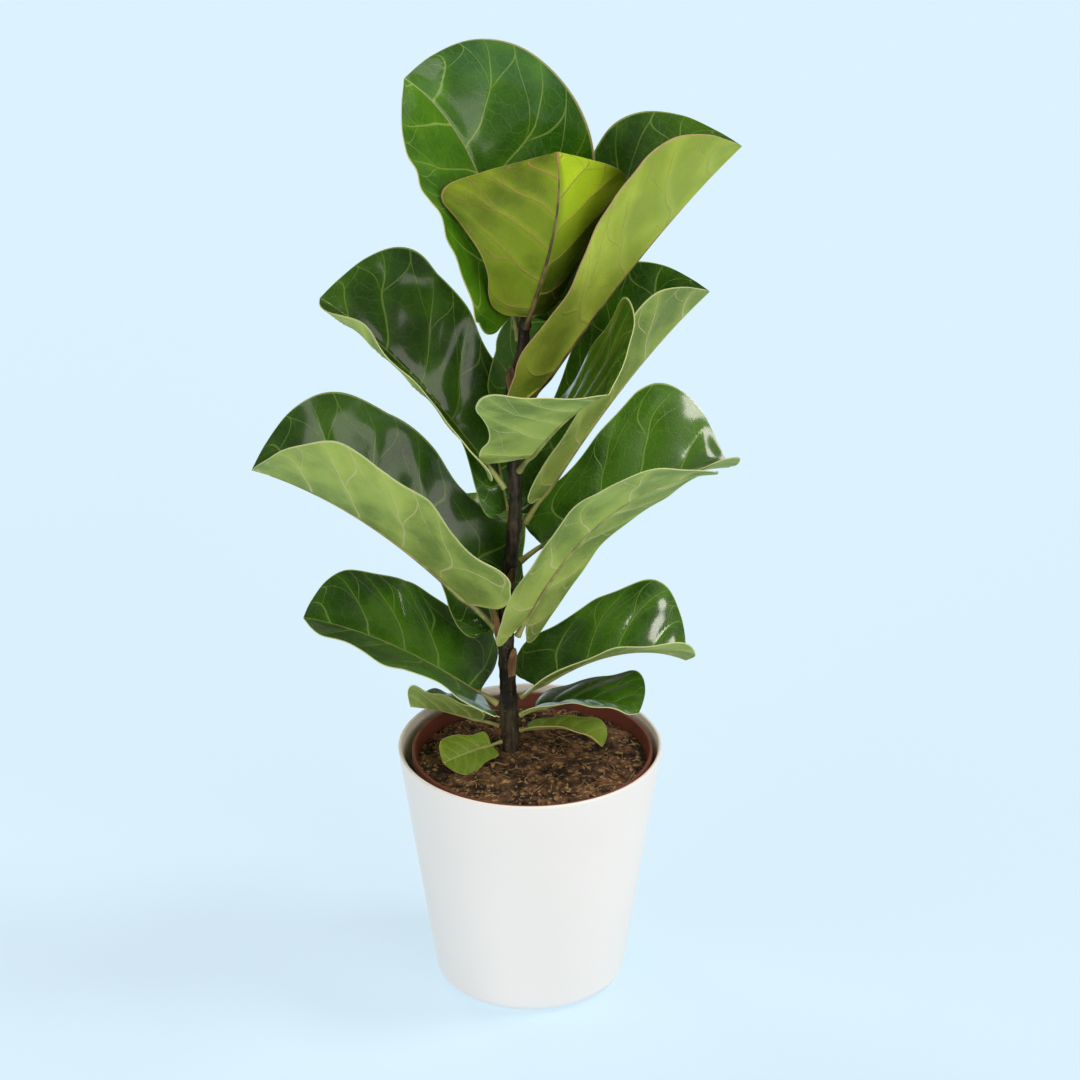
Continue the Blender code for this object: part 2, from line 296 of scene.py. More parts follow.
def add(
    tree: bpy.types.NodeTree, kind: str, settings: dict[str, Any], inputs: dict[Any, Any]
) -> Any:
    """Add one node with its settings and its inputs.

    Args:
        tree: The node tree that it goes into.
        kind: The node's type without its ShaderNode prefix.
        settings: Properties of the node.
        inputs: Values or output sockets, by input name or index.

    Returns:
        The node.
    """
    node = tree.nodes.new("ShaderNode" + kind)
    for name, value in settings.items():
        setattr(node, name, value)
    for key, value in inputs.items():
        if isinstance(value, bpy.types.NodeSocket):
            tree.links.new(value, node.inputs[key])
        else:
            node.inputs[key].default_value = value
    return node


def blend_colour(tree: bpy.types.NodeTree, share: Any, first: Any, second: Any) -> Any:
    """Mix two colours by a share, and give the output socket."""
    made = add(tree, "Mix", {"data_type": "RGBA"}, {0: share, 6: first, 7: second})
    return made.outputs[2]


def sums(tree: bpy.types.NodeTree, operation: str, *values: Any) -> Any:
    """Do one sum on numbers or sockets, and give the output socket."""
    made = add(tree, "Math", {"operation": operation}, dict(enumerate(values)))
    return made.outputs[0]


def ranged(
    tree: bpy.types.NodeTree, value: Any, low: float, high: float, start: float, end: float
) -> Any:
    """Ease a value onto a new range.

    Args:
        tree: The node tree.
        value: The number or socket to read.
        low: Where the result is start.
        high: Where the result is end.
        start: The result at low and below it.
        end: The result at high and above it.

    Returns:
        The output socket.
    """
    inputs = {"Value": value, "From Min": low, "From Max": high, "To Min": start, "To Max": end}
    made = add(tree, "MapRange", {"interpolation_type": "SMOOTHSTEP"}, inputs)
    return made.outputs["Result"]


def start_material(name: str) -> tuple[bpy.types.Material, bpy.types.NodeTree, Any]:
    """Make an empty Principled material.

    Args:
        name: The material's name.

    Returns:
        The material, its node tree and its shader node.
    """
    material = bpy.data.materials.new(name)
    material.use_nodes = True
    tree = material.node_tree
    return material, tree, tree.nodes["Principled BSDF"]


def connect(tree: bpy.types.NodeTree, shader: Any, inputs: dict[str, Any]) -> None:
    """Set or link the shader's own inputs."""
    for key, value in inputs.items():
        if isinstance(value, bpy.types.NodeSocket):
            tree.links.new(value, shader.inputs[key])
        else:
            shader.inputs[key].default_value = value


class Side(Enum):
    """The two faces of a leaf blade, by how far their veins stand out: sunk above, raised below."""

    UPPER = -1.0
    UNDER = 1.0


@dataclass(frozen=True)
class BladeFinish:
    """One face of a leaf blade: living cuticle over green tissue, with a pale net of veins.

    dark and light are the tissue's two tones, vein and margin the pale lines. net is how clearly
    the fine veins show, rib the same for the side veins and midrib, shine how much the skin itself
    reflects, gloss the clear wax on top, and scatter how much light passes through. foot and glow
    are painted shade and painted light on the left half, where it differs from the right half:
    foot a painted shaded tone at its near end, and glow a painted yellow tone at its far end, as of
    light shining through.
    """

    name: str
    side: Side
    dark: str
    light: str
    vein: str
    margin: str
    roughness: float
    net: float
    rib: float
    shine: float
    scatter: float
    gloss: float = 0.0
    foot: str = ""
    painted_backlight: str = ""

    def veins(
        self, tree: bpy.types.NodeTree, phase: Any, reach: Any, from_rib: Any
    ) -> tuple[Any, Any]:
        """Draw the midrib and the side veins, which fork and join near the margin.

        Args:
            tree: The node tree.
            phase: The vein number, whole along each side vein.
            reach: Share of the way from the midrib to the margin.
            from_rib: Millimetres from the midrib.

        Returns:
            The lines, and a wide soft band along each side vein.
        """
        off_vein = sums(tree, "PINGPONG", phase, 0.5)
        # A side vein is 2.4 mm wide at the midrib and 0.9 mm at the margin.
        thin = sums(tree, "MULTIPLY_ADD", reach, -0.026, 0.042)
        side_vein = ranged(tree, sums(tree, "DIVIDE", off_vein, thin), 0.25, 1.0, 1.0, 0.0)
        side_vein = sums(tree, "MULTIPLY", side_vein, ranged(tree, reach, 0.7, 0.97, 0.95, 0.4))
        # Past half way each one forks, and its arms meet those of its neighbours.
        spread = ranged(tree, reach, 0.42, 0.92, 0.0, 0.5)
        off_fork = sums(tree, "ABSOLUTE", sums(tree, "SUBTRACT", off_vein, spread))
        fork = ranged(tree, off_fork, 0.005, 0.022, 0.75, 0.0)
        fork = sums(tree, "MULTIPLY", fork, ranged(tree, reach, 0.44, 0.6, 0.0, 1.0))
        # The midrib is 2.6 mm wide at the base and 0.8 mm at the tip.
        half_rib = sums(tree, "MULTIPLY_ADD", phase, -0.15, 1.3)
        rib = ranged(tree, sums(tree, "DIVIDE", from_rib, half_rib), 0.6, 1.25, 1.0, 0.0)
        lines = sums(tree, "MAXIMUM", sums(tree, "MAXIMUM", side_vein, fork), rib)
        return lines, ranged(tree, off_vein, 0.0, 0.26, 1.0, 0.0)

    def mesh_of_veins(self, tree: bpy.types.NodeTree, place: Any) -> Any:
        """Draw the net between the side veins, with meshes of about 10 mm and 4 mm.

        Args:
            tree: The node tree.
            place: The place on the leaf, in millimetres.

        Returns:
            How strongly the net shows there.
        """
        wander = add(tree, "TexNoise", {}, {"Vector": place, "Scale": 0.12, "Detail": 2.0})
        # Wander of about 2 mm, so that no vein is a ruled line.
        bent = add(
            tree,
            "VectorMath",
            {"operation": "MULTIPLY_ADD"},
            {0: wander.outputs["Color"], 1: (4.0, 4.0, 4.0), 2: place},
        ).outputs[0]
        lines = []
        for scale, width, strength in ((0.10, 0.050, 1.0), (0.26, 0.085, 0.5)):
            inputs = {"Vector": bent, "Scale": scale}
            cells = add(tree, "TexVoronoi", {"feature": "DISTANCE_TO_EDGE"}, inputs)
            lines.append(ranged(tree, cells.outputs["Distance"], 0.0, width, strength, 0.0))
        return sums(tree, "MAXIMUM", *lines)

    def material(self) -> bpy.types.Material:
        """Build the face's material from the blade's own UV maps and object coordinates.

        Returns:
            The material.
        """
        material, tree, shader = start_material(self.name)
        blade = add(tree, "UVMap", {"uv_map": "Blade"}, {}).outputs[0]
        numbers = add(tree, "UVMap", {"uv_map": "Veins"}, {}).outputs[0]
        # The blade's map holds hundreds of millimetres, and object coordinates are metres.
        unrolled = {0: blade, "Scale": UV_SPAN}
        flat = add(tree, "VectorMath", {"operation": "SCALE"}, unrolled).outputs[0]
        spot = add(tree, "TexCoord", {}, {}).outputs["Object"]
        in_mm = {0: spot, "Scale": 1000.0}
        place = add(tree, "VectorMath", {"operation": "SCALE"}, in_mm).outputs[0]
        split = add(tree, "SeparateXYZ", {}, {0: numbers})
        phase, signed = split.outputs[0], split.outputs[1]
        reach = sums(tree, "ABSOLUTE", signed)
        from_rib = sums(tree, "ABSOLUTE", add(tree, "SeparateXYZ", {}, {0: flat}).outputs[0])
        lines, halo = self.veins(tree, phase, reach, from_rib)
        net = self.mesh_of_veins(tree, place)
        # Tone drifts over about 35 mm within a leaf, and over about 120 mm from leaf to leaf.
        patch = add(tree, "TexNoise", {}, {"Vector": place, "Scale": 0.028, "Detail": 4.0})
        drift = add(tree, "TexNoise", {}, {"Vector": place, "Scale": 0.008, "Detail": 1.0})
        tone = sums(tree, "MULTIPLY_ADD", drift.outputs["Fac"], 0.8, patch.outputs["Fac"])
        tone = ranged(tree, tone, 0.70, 1.10, 0.0, 0.85)
        tone = sums(tree, "MULTIPLY_ADD", halo, 0.35, tone)
        colour = blend_colour(tree, tone, linear(self.dark), linear(self.light))
        if self.painted_backlight:
            # Painted shade and light: the left half changes from a painted shaded tone at its near
            # end to a painted backlit one at its far end, between these veins.
            along = ranged(tree, phase, 2.0, 5.2, 0.0, 1.0)
            painted_light_ramp = blend_colour(tree, along, linear(self.foot), linear(self.painted_backlight))
            # Only the left half takes the painted shade and the painted light.
            left = ranged(tree, signed, -0.12, 0.02, 0.85, 0.0)
            colour = blend_colour(tree, left, colour, painted_light_ramp)
        for pale, strength in ((net, self.net), (lines, self.rib)):
            share = sums(tree, "MULTIPLY", pale, strength)
            colour = blend_colour(tree, share, colour, linear(self.vein))
        # The thin pale margin is about 1 mm wide.
        edge = ranged(tree, reach, 0.978, 0.992, 0.0, 0.85)
        colour = blend_colour(tree, edge, colour, linear(self.margin))
        # Relief: side veins 0.4 mm, the net 0.14 mm, so that highlights break up into meshes.
        height = sums(tree, "MULTIPLY_ADD", lines, 0.4, sums(tree, "MULTIPLY", net, 0.14))
        height = sums(tree, "MULTIPLY", height, self.side.value)
        grain = add(tree, "TexNoise", {}, {"Vector": place, "Scale": 0.7, "Detail": 3.0})
        height = sums(tree, "MULTIPLY_ADD", grain.outputs["Fac"], 0.24, height)
        bump = add(tree, "Bump", {}, {"Strength": 0.9, "Distance": MM, "Height": height})
        rough = sums(tree, "MULTIPLY_ADD", patch.outputs["Fac"], 0.24, self.roughness - 0.12)
        connect(
            tree,
            shader,
            {
                "Base Color": colour,
                "Roughness": rough,
                "Normal": bump.outputs[0],
                "IOR": 1.45,
                "Specular IOR Level": self.shine,
                "Coat Weight": self.gloss,
                "Coat Roughness": 0.14,
                "Subsurface Weight": self.scatter,
                "Subsurface Radius": (0.8, 1.0, 0.25),
                "Subsurface Scale": 1.2 * MM,
            },
        )
        return material


@dataclass(frozen=True)
class StalkFinish:
    """The smooth skin of a leaf stalk, a midrib or a dry fibre, mottled every 10 mm or so."""

    name: str
    light: str
    dark: str

    def material(self) -> bpy.types.Material:
        """Build the stalk's material from object coordinates.

        Returns:
            The material.
        """
        material, tree, shader = start_material(self.name)
        place = add(tree, "TexCoord", {}, {}).outputs["Object"]
        mottle = add(tree, "TexNoise", {}, {"Vector": place, "Scale": 90.0, "Detail": 3.0})
        speck = add(tree, "TexNoise", {}, {"Vector": place, "Scale": 700.0, "Detail": 2.0})
        share = ranged(tree, mottle.outputs["Fac"], 0.35, 0.65, 0.0, 1.0)
        colour = blend_colour(tree, share, linear(self.light), linear(self.dark))
        bump = add(tree, "Bump", {}, {"Distance": 0.2 * MM, "Height": speck.outputs["Fac"]})
        connect(
            tree,
            shader,
            {
                "Base Color": colour,
                "Roughness": 0.42,
                "Normal": bump.outputs[0],
                "Subsurface Weight": 0.1,
                "Subsurface Scale": 1 * MM,
            },
        )
        return material


@dataclass(frozen=True)
class PlasticFinish:
    """Moulded plastic: an even colour with a fine spark-eroded grain and soft waviness."""

    name: str
    base: str
    shade: str
    roughness: float
    grain: float
    dust: str = ""

    def material(self) -> bpy.types.Material:
        """Build the plastic's material from object coordinates.

        Returns:
            The material.
        """
        material, tree, shader = start_material(self.name)
        place = add(tree, "TexCoord", {}, {}).outputs["Object"]
        broad = add(tree, "TexNoise", {}, {"Vector": place, "Scale": 14.0, "Detail": 2.0})
        colour = blend_colour(tree, broad.outputs["Fac"], linear(self.base), linear(self.shade))
        # Mould grain is about 0.3 mm across; it is drawn at 0.9 mm so that it shows.
        grain = add(tree, "TexNoise", {}, {"Vector": place, "Scale": 1100.0, "Detail": 2.0})
        if self.dust:
            smear = add(tree, "TexNoise", {}, {"Vector": place, "Scale": 60.0, "Detail": 8.0})
            share = ranged(tree, smear.outputs["Fac"], 0.56, 0.72, 0.0, 0.7)
            colour = blend_colour(tree, share, colour, linear(self.dust))
        rough = sums(tree, "MULTIPLY_ADD", broad.outputs["Fac"], 0.08, self.roughness - 0.04)
        height = sums(tree, "MULTIPLY", grain.outputs["Fac"], self.grain)
        bump = add(tree, "Bump", {}, {"Strength": 0.5, "Distance": MM, "Height": height})
        connect(
            tree,
            shader,
            {"Base Color": colour, "Roughness": rough, "Normal": bump.outputs[0], "IOR": 1.49},
        )
        return material


@dataclass(frozen=True)
class EarthFinish:
    """Damp peat or bark: dark crumbs, some of them pale and dry, fully matt."""

    name: str
    dark: str
    mid: str
    light: str
    crumb: float = 420.0

    def material(self) -> bpy.types.Material:
        """Build the earth's material from object coordinates.

        Returns:
            The material.
        """
        material, tree, shader = start_material(self.name)
        place = add(tree, "TexCoord", {}, {}).outputs["Object"]
        patch = add(tree, "TexNoise", {}, {"Vector": place, "Scale": 75.0, "Detail": 6.0})
        # Crumbs are 2 to 3 mm across, and those of a higher hue number are the dry ones.
        crumb = add(tree, "TexVoronoi", {}, {"Vector": place, "Scale": self.crumb})
        tone = ranged(tree, patch.outputs["Fac"], 0.38, 0.66, 0.0, 1.0)
        colour = blend_colour(tree, tone, linear(self.dark), linear(self.mid))
        hue = add(tree, "SeparateXYZ", {}, {0: crumb.outputs["Color"]}).outputs[0]
        dry = ranged(tree, hue, 0.72, 1.0, 0.0, 0.8)
        colour = blend_colour(tree, dry, colour, linear(self.light))
        dust = add(tree, "TexNoise", {}, {"Vector": place, "Scale": 900.0, "Detail": 4.0})
        height = sums(tree, "MULTIPLY_ADD", dust.outputs["Fac"], 0.8, crumb.outputs["Distance"])
        bump = add(tree, "Bump", {}, {"Strength": 1.0, "Distance": 1.2 * MM, "Height": height})
        connect(tree, shader, {"Base Color": colour, "Roughness": 0.95, "Normal": bump.outputs[0]})
        return material


@dataclass(frozen=True)
class BarkFinish:
    """Young fig bark or a dry sheath: streaked lengthwise, with pale pores about 4 mm apart."""

    name: str
    dark: str
    light: str
    pore: str

    def material(self) -> bpy.types.Material:
        """Build the bark's material from object coordinates, drawn out along the stem.

        Returns:
            The material.
        """
        material, tree, shader = start_material(self.name)
        place = add(tree, "TexCoord", {}, {}).outputs["Object"]
        drawn = add(tree, "Mapping", {}, {"Vector": place, "Scale": (1.0, 1.0, 0.16)}).outputs[0]
        streak = add(tree, "TexNoise", {}, {"Vector": drawn, "Scale": 420.0, "Detail": 5.0})
        patch = add(tree, "TexNoise", {}, {"Vector": place, "Scale": 38.0, "Detail": 3.0})
        share = sums(tree, "MULTIPLY_ADD", patch.outputs["Fac"], 0.6, streak.outputs["Fac"])
        colour = blend_colour(
            tree, ranged(tree, share, 0.62, 1.0, 0.0, 1.0), linear(self.dark), linear(self.light)
        )
        pores = add(tree, "TexVoronoi", {}, {"Vector": place, "Scale": 260.0}).outputs["Distance"]
        dots = ranged(tree, pores, 0.10, 0.22, 0.8, 0.0)
        colour = blend_colour(tree, dots, colour, linear(self.pore))
        height = sums(tree, "MULTIPLY_ADD", dots, 0.5, streak.outputs["Fac"])
        bump = add(tree, "Bump", {}, {"Strength": 0.9, "Distance": 0.7 * MM, "Height": height})
        connect(tree, shader, {"Base Color": colour, "Roughness": 0.68, "Normal": bump.outputs[0]})
        return material


# Old fig leaves: thick dark green cuticle that shines in patches, over a pale matt underside.
MATURE_UPPER = BladeFinish(
    "leaf_upper_mature", Side.UPPER, dark="#1e4505", light="#42710d", vein="#8cab50",
    margin="#a4b462", roughness=0.36, net=0.10, rib=0.58, shine=0.2, gloss=0.6, scatter=0.05,
)
MATURE_UNDER = BladeFinish(
    "leaf_under_mature", Side.UNDER, dark="#71883f", light="#a6b85a", vein="#c9c088",
    margin="#c6ca90", roughness=0.65, net=0.14, rib=0.75, shine=0.2, scatter=0.2,
)
# A leaf of this season: brighter, and still a little see-through.
FRESH_UPPER = BladeFinish(
    "leaf_upper_fresh", Side.UPPER, dark="#2c5c0a", light="#50830f", vein="#96b458",
    margin="#b3a870", roughness=0.34, net=0.10, rib=0.64, shine=0.2, gloss=0.6, scatter=0.12,
)
# The newest leaf: thin olive tissue with brown-pink veins, and on its left half painted shade at
# the foot and painted yellow light towards the tip, where light would come through.
TENDER_UNDER = BladeFinish(
    "leaf_under_tender", Side.UNDER, dark="#50650f", light="#83991f", vein="#a0804a",
    margin="#b28f66", roughness=0.5, net=0.12, rib=0.9, shine=0.25, scatter=0.15,
    # The left half's painted shade at the foot and painted backlight towards the tip.
    foot="#2b4205", painted_backlight="#aecb20",
)
# Soft young leaves: yellow-green on both sides, with hardly any wax yet.
YOUNG_UPPER = BladeFinish(
    "leaf_upper_young", Side.UPPER, dark="#6a8626", light="#8ba23c", vein="#b4bd6c",
    margin="#c4c487", roughness=0.42, net=0.15, rib=0.65, shine=0.25, gloss=0.1, scatter=0.3,
)
YOUNG_UNDER = BladeFinish(
    "leaf_under_young", Side.UNDER, dark="#94a63a", light="#b9c94e", vein="#a9a558",
    margin="#bd9d77", roughness=0.55, net=0.12, rib=0.6, shine=0.2, scatter=0.3,
)
# Green stalks turn pale as they age, and the newest are still reddish brown.
MATURE_STALK = StalkFinish("leaf_stalk_mature", "#a3a45c", "#85824a")
YOUNG_STALK = StalkFinish("leaf_stalk_young", "#7d6a3a", "#4a3626")
# Injection-moulded polypropylene: satin and even on the outer pot, duller with a bloom of dry
# earth on the inner one.
COVER_PLASTIC = PlasticFinish("satin_white_moulded_plastic", "#efe9e6", "#e9e4e1", 0.36, 0.05)
NURSERY_PLASTIC = PlasticFinish(
    "brown_moulded_plastic", "#7d4233", "#6b382c", 0.48, 0.10, dust="#4a3426"
)
# Potting mix: milled peat, dark where it is damp, with shredded bark and dry plant fibres.
PEAT = EarthFinish("damp_peat", "#2a1c12", "#7a573b", "#b89668")
BARK_CHIP = EarthFinish("bark_chips", "#4a3522", "#8c6746", "#b8945f", crumb=300.0)
STRAW = StalkFinish("dry_fibres", "#a98a5c", "#75593a")
# Bark grown over one or two years is nearly black, and the sheaths dry to a paler brown.
BARK = BarkFinish("young_fig_bark", "#160f0a", "#463b26", "#5f5641")
DRY_SHEATH = BarkFinish("dry_bud_sheath", "#5a3d26", "#9a7550", "#6d4a30")


# ---------------------------------------------------------------- stem


@dataclass(frozen=True)
class StemLine:
    """The stem's centre line and thickness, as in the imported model.

    The line passes through points, in millimetres. swell is how much thicker it is at a leaf's
    node, and swell_half how far that reaches up and down.
    """

    foot: float = 150 * MM
    tip: float = 508 * MM
    foot_radius: float = 6.6 * MM
    tip_radius: float = 3.6 * MM
    swell: float = 0.6 * MM
    swell_half: float = 6 * MM
    points: tuple[tuple[float, float, float], ...] = (
        (-14, 12, 150),
        (-14, 12, 170),
        (-17, 12, 271),
        (-10, 10, 367),
        (-13, 8, 443),
        (-4, 6, 490),
        (-2, 4, 510),
    )

    def centre(self, height: float) -> Vector:
        """Find the centre at a height.

        Args:
            height: Metres above the ground.

        Returns:
            The point on the centre line.
        """
        for low, high in zip(self.points, self.points[1:]):
            if height <= high[2] * MM or high is self.points[-1]:
                along = min(1.0, (height - low[2] * MM) / ((high[2] - low[2]) * MM))
                eased = (1 - cos(pi * along)) / 2
                spot = Vector(low[:2]).lerp(Vector(high[:2]), eased) * MM
                return Vector((spot.x, spot.y, height))
        return Vector((0, 0, height))

    def radius(self, height: float) -> float:
        """Find the radius at a height, thicker at each leaf's node."""
        along = (height - self.foot) / (self.tip - self.foot)
        near = min(abs(height - leaf.node * MM) for leaf in LEAVES)
        swell = self.swell * max(0.0, 1 - near / self.swell_half)
        return self.foot_radius + (self.tip_radius - self.foot_radius) * along + swell


# ---------------------------------------------------------------- leaves


@dataclass(frozen=True)
class LeafLook:
    """What a leaf is dressed in: the finishes of its two faces and its stalk, and its slot."""

    upper: BladeFinish
    under: BladeFinish
    stalk: StalkFinish
    slot: str


class Age(Enum):
    """How old a leaf is, from the oldest to the youngest, and the look that goes with it."""

    MATURE = LeafLook(MATURE_UPPER, MATURE_UNDER, MATURE_STALK, "mature_leaf")
    GROWN = LeafLook(FRESH_UPPER, MATURE_UNDER, MATURE_STALK, "mature_leaf")
    FRESH = LeafLook(MATURE_UPPER, YOUNG_UNDER, YOUNG_STALK, "young_leaf")
    TENDER = LeafLook(FRESH_UPPER, TENDER_UNDER, YOUNG_STALK, "young_leaf")
    SMALL = LeafLook(YOUNG_UPPER, YOUNG_UNDER, MATURE_STALK, "young_leaf")


# A blade's outline: (how far along its margin end is, its half width, where it meets the midrib).
BLADE_OUTLINE: list[tuple[float, ...]] = [
    (0.000, 0.00, 0.000),
    (-0.030, 0.14, 0.004),
    (-0.060, 0.31, 0.012),
    (-0.045, 0.48, 0.030),
    (0.030, 0.61, 0.070),
    (0.140, 0.66, 0.140),
    (0.270, 0.66, 0.230),
    (0.400, 0.72, 0.340),
    (0.540, 0.86, 0.460),
    (0.680, 0.98, 0.580),
    (0.790, 1.00, 0.690),
    (0.880, 0.88, 0.790),
    (0.945, 0.62, 0.880),
    (0.982, 0.28, 0.950),
    (1.000, 0.00, 1.000),
]
# A leaf's waist acts from the base up to this share of its length.
WAIST_END = 0.6
# How finely a blade is cut along and across each half, and its centre line along.
ROWS = 104
HALF_COLUMNS = 30
PATH_STEPS = 120
BLADE_THICKNESS = 0.7 * MM
# Side veins in each half. They run back towards the stalk at the base and forward past it.
SIDE_VEINS = 5.2
VEIN_CROWDING = 0.9
LOBE_SHARE = 0.1
BASE_SLOPE = -0.45
SLOPE_CHANGE = 1.0
SLOPE_END = 0.42
VEIN_ARCH = 0.07
# A side vein strays by a third of the way to the next, over some 55 mm, from 12 mm off the midrib.
STRAY = 0.3
STRAY_PITCH = 0.018
STRAY_START = 12
HALVES_APART = 40
# The margin ruffles by this much over this length, in millimetres.
RUFFLE = 3.6
RUFFLE_SPAN = 26
# The midrib lies in a groove of this depth and half width, in millimetres.
GROOVE = 0.8
GROOVE_HALF = 5
# Radii of a full-sized leaf's stalk and midrib in millimetres, and how much they lose or gain.
STALK_GAP = 0.3
STALK_RADIUS = 2.2
STALK_TAPER = 0.5
STALK_FOOT = 5
MIDRIB_RADIUS = 1.7
MIDRIB_TAPER = 1.35
MIDRIB_END = 0.93
MIDRIB_STEPS = 54


@dataclass(frozen=True)
class Leaf:
    """One leaf. Lengths are millimetres and angles are degrees.

    node is the height at which it leaves the stem, heading the compass way, from +X towards +Y,
    and rise its slope there. stalk is the length before the blade, and length and width are the
    blade's. droop and sweep bend it down and to its left by its tip, late if bend is large. lean
    turns it sideways and roll about its own line from the start, and twist adds to the roll
    towards the tip. left and right fold its halves up, and curl adds to the fold towards the
    margin, which waves this high, this many times. lobe scales the basal lobes, waist the width
    near the base, and a belly over 1 moves the widest part towards the base. pucker is how far
    the blade bulges between its side veins.
    """

    name: str
    node: float
    heading: float
    rise: float
    length: float
    width: float
    stalk: float = 15
    droop: float = 0
    sweep: float = 0
    bend: float = 1.6
    lean: float = 0
    roll: float = 0
    twist: float = 0
    left: float = 15
    right: float = 15
    curl: float = 0
    wave: float = 2
    waves: float = 2.5
    lobe: float = 1
    belly: float = 1
    waist: float = 1
    pucker: float = 1.9
    age: Age = Age.MATURE

    def path(self) -> Path:
        """Walk the leaf's centre line.

        Returns:
            Evenly spaced points, each with its along, right and up directions.
        """
        heading = Vector((cos(radians(self.heading)), sin(radians(self.heading)), 0))
        side = Vector((heading.y, -heading.x, 0))
        along = heading * cos(radians(self.rise)) + UP * sin(radians(self.rise))
        up = side.cross(along)
        lean = Quaternion(up, radians(self.lean))
        along, side = lean @ along, lean @ side
        height = self.node * MM
        reach = STEM.radius(height) + (STALK_GAP + STALK_RADIUS * sin(radians(self.rise))) * MM
        point = STEM.centre(height) + heading * reach
        step = (self.stalk + self.length) * MM / PATH_STEPS
        walked = []
        for i in range(PATH_STEPS + 1):
            bent = (i / PATH_STEPS) ** self.bend
            sweep = Quaternion(up, radians(self.sweep) * bent)
            turn = sweep @ Quaternion(side, -radians(self.droop) * bent)
            roll = radians(self.roll + self.twist * i / PATH_STEPS)
            rolled = Quaternion(turn @ along, roll) @ turn
            walked.append((point.copy(), rolled @ along, rolled @ side, rolled @ up))
            point += (rolled @ along) * step
        return walked

    def at(self, path: Path, distance: float) -> list[Vector]:
        """Read the path, which runs straight on before its start.

        Args:
            path: The leaf's centre line.
            distance: Millimetres past the blade's base.

        Returns:
            The point there, with its along, right and up directions.
        """
        place = (self.stalk + distance) / (self.stalk + self.length) * PATH_STEPS
        low = min(max(int(place), 0), PATH_STEPS - 1)
        blend = min(place - low, 1.0)
        return [a.lerp(b, blend) for a, b in zip(path[low], path[low + 1])]

    def phase(self, distance: float, reach: float, across: float) -> float:
        """Number the side veins over the blade, so that each runs along a whole number.

        Args:
            distance: Millimetres past the blade's base.
            reach: Millimetres from the midrib.
            across: Share of the way to the margin, negative on the left half.

        Returns:
            The vein number there, with the two halves' veins set alternately.
        """
        share = distance / self.length
        slope = BASE_SLOPE + SLOPE_CHANGE * smooth(share, -LOBE_SHARE, SLOPE_END)
        start = share - slope * reach / self.length - VEIN_ARCH * abs(across) ** 3
        number = SIDE_VEINS * max(start + LOBE_SHARE, 0.0) ** VEIN_CROWDING
        half = self.node + HALVES_APART * (across > 0)
        chance = Vector((distance * STRAY_PITCH, reach * STRAY_PITCH, half))
        stray = noise.noise(chance) + 0.2 * noise.noise(chance * 3)
        number += STRAY * stray * smooth(reach, 0, STRAY_START)
        return number + (0.5 if across < 0 else 0.0)

    def blade(self, path: Path) -> bpy.types.Object:
        """Lay a fine grid over the path as the blade, with its UV maps.

        Args:
            path: The leaf's centre line.

        Returns:
            The blade, one face thick.
        """
        deselect()
        columns = 2 * HALF_COLUMNS
        bpy.ops.mesh.primitive_grid_add(x_subdivisions=columns, y_subdivisions=ROWS, size=2)
        obj = bpy.context.active_object
        mesh = obj.data
        flats: list[tuple[float, float, float]] = []
        for vert in mesh.vertices:
            across, row = vert.co.x, (vert.co.y + 1) / 2
            margin, half, attach = spline_at(BLADE_OUTLINE, row)
            margin = margin * self.lobe if margin < 0 else margin**self.belly
            half = max(half, 0.0) * (1 + (self.waist - 1) * max(0.0, 1 - attach / WAIST_END))
            distance = (attach + (margin - attach) * abs(across)) * self.length
            reach = half * self.width / 2 * abs(across)
            flats.append((across, reach, distance))
            vert.co = self.surface(path, across, reach, distance, half * abs(across))
        blade_uv = mesh.uv_layers.new(name="Blade")
        vein_uv = mesh.uv_layers.new(name="Veins")
        for face in mesh.polygons:
            middle = sum(flats[i][0] for i in face.vertices)
            half_sign = -1 if middle < 0 else 1
            for loop in face.loop_indices:
                across, reach, distance = flats[mesh.loops[loop].vertex_index]
                signed = half_sign * max(abs(across), 1e-6)
                blade_uv.data[loop].uv = (half_sign * reach / UV_SPAN, distance / UV_SPAN)
                vein_uv.data[loop].uv = (self.phase(distance, reach, signed), signed)
        take(obj)
        bpy.ops.object.mode_set(mode="EDIT")
        bpy.ops.mesh.select_all(action="SELECT")
        bpy.ops.mesh.remove_doubles(threshold=0.02 * MM)
        bpy.ops.object.mode_set(mode="OBJECT")
        return obj

    def surface(
        self,
        path: Path,
        across: float,
        reach: float,
        distance: float,
        share: float,
    ) -> Vector:
        """Find a point on the blade's upper face.

        Args:
            path: The leaf's centre line.
            across: Share of the way to the margin, negative on the left half.
            reach: Millimetres from the midrib.
            distance: Millimetres past the blade's base.
            share: The reach as a share of the widest half.

        Returns:
            The point, folded, waved and puckered.
        """
        point, _, side, up = self.at(path, distance)
        fold = radians((self.left if across < 0 else self.right) + self.curl * share)
        out = side if across >= 0 else -side
        # The two halves wave out of step.
        phase = 2 * pi * self.waves * distance / self.length + (1.3 if across < 0 else 0)
        lift = reach * sin(fold) + self.wave * share**2 * sin(phase)
        # Between side veins the blade bulges, most of all halfway to the margin.
        vein = self.phase(distance, reach, across if across else 1e-6)
        swell = abs(sin(pi * vein)) ** 0.6 * sin(pi * min(abs(across) * 1.02, 1.0) ** 0.8)
        swell *= 1 - smooth(distance / self.length, 0.9, 1.0)
        spot = Vector((distance / RUFFLE_SPAN, reach / RUFFLE_SPAN, self.node))
        ruffle = noise.noise(spot) * RUFFLE * share**1.5
        groove = -GROOVE * exp(-((reach / GROOVE_HALF) ** 2))
        normal = (up * cos(fold) - out * sin(fold)).normalized()
        bulge = self.pucker * swell + ruffle + groove
        return point + (out * reach * cos(fold) + up * lift + normal * bulge) * MM

    def stalk_and_midrib(self, path: Path) -> bpy.types.Object:
        """Run one tapered tube along the stalk and on below the blade.

        Args:
            path: The leaf's centre line.

        Returns:
            The tube.
        """
        points, radii = [], []
        end = MIDRIB_END * self.length
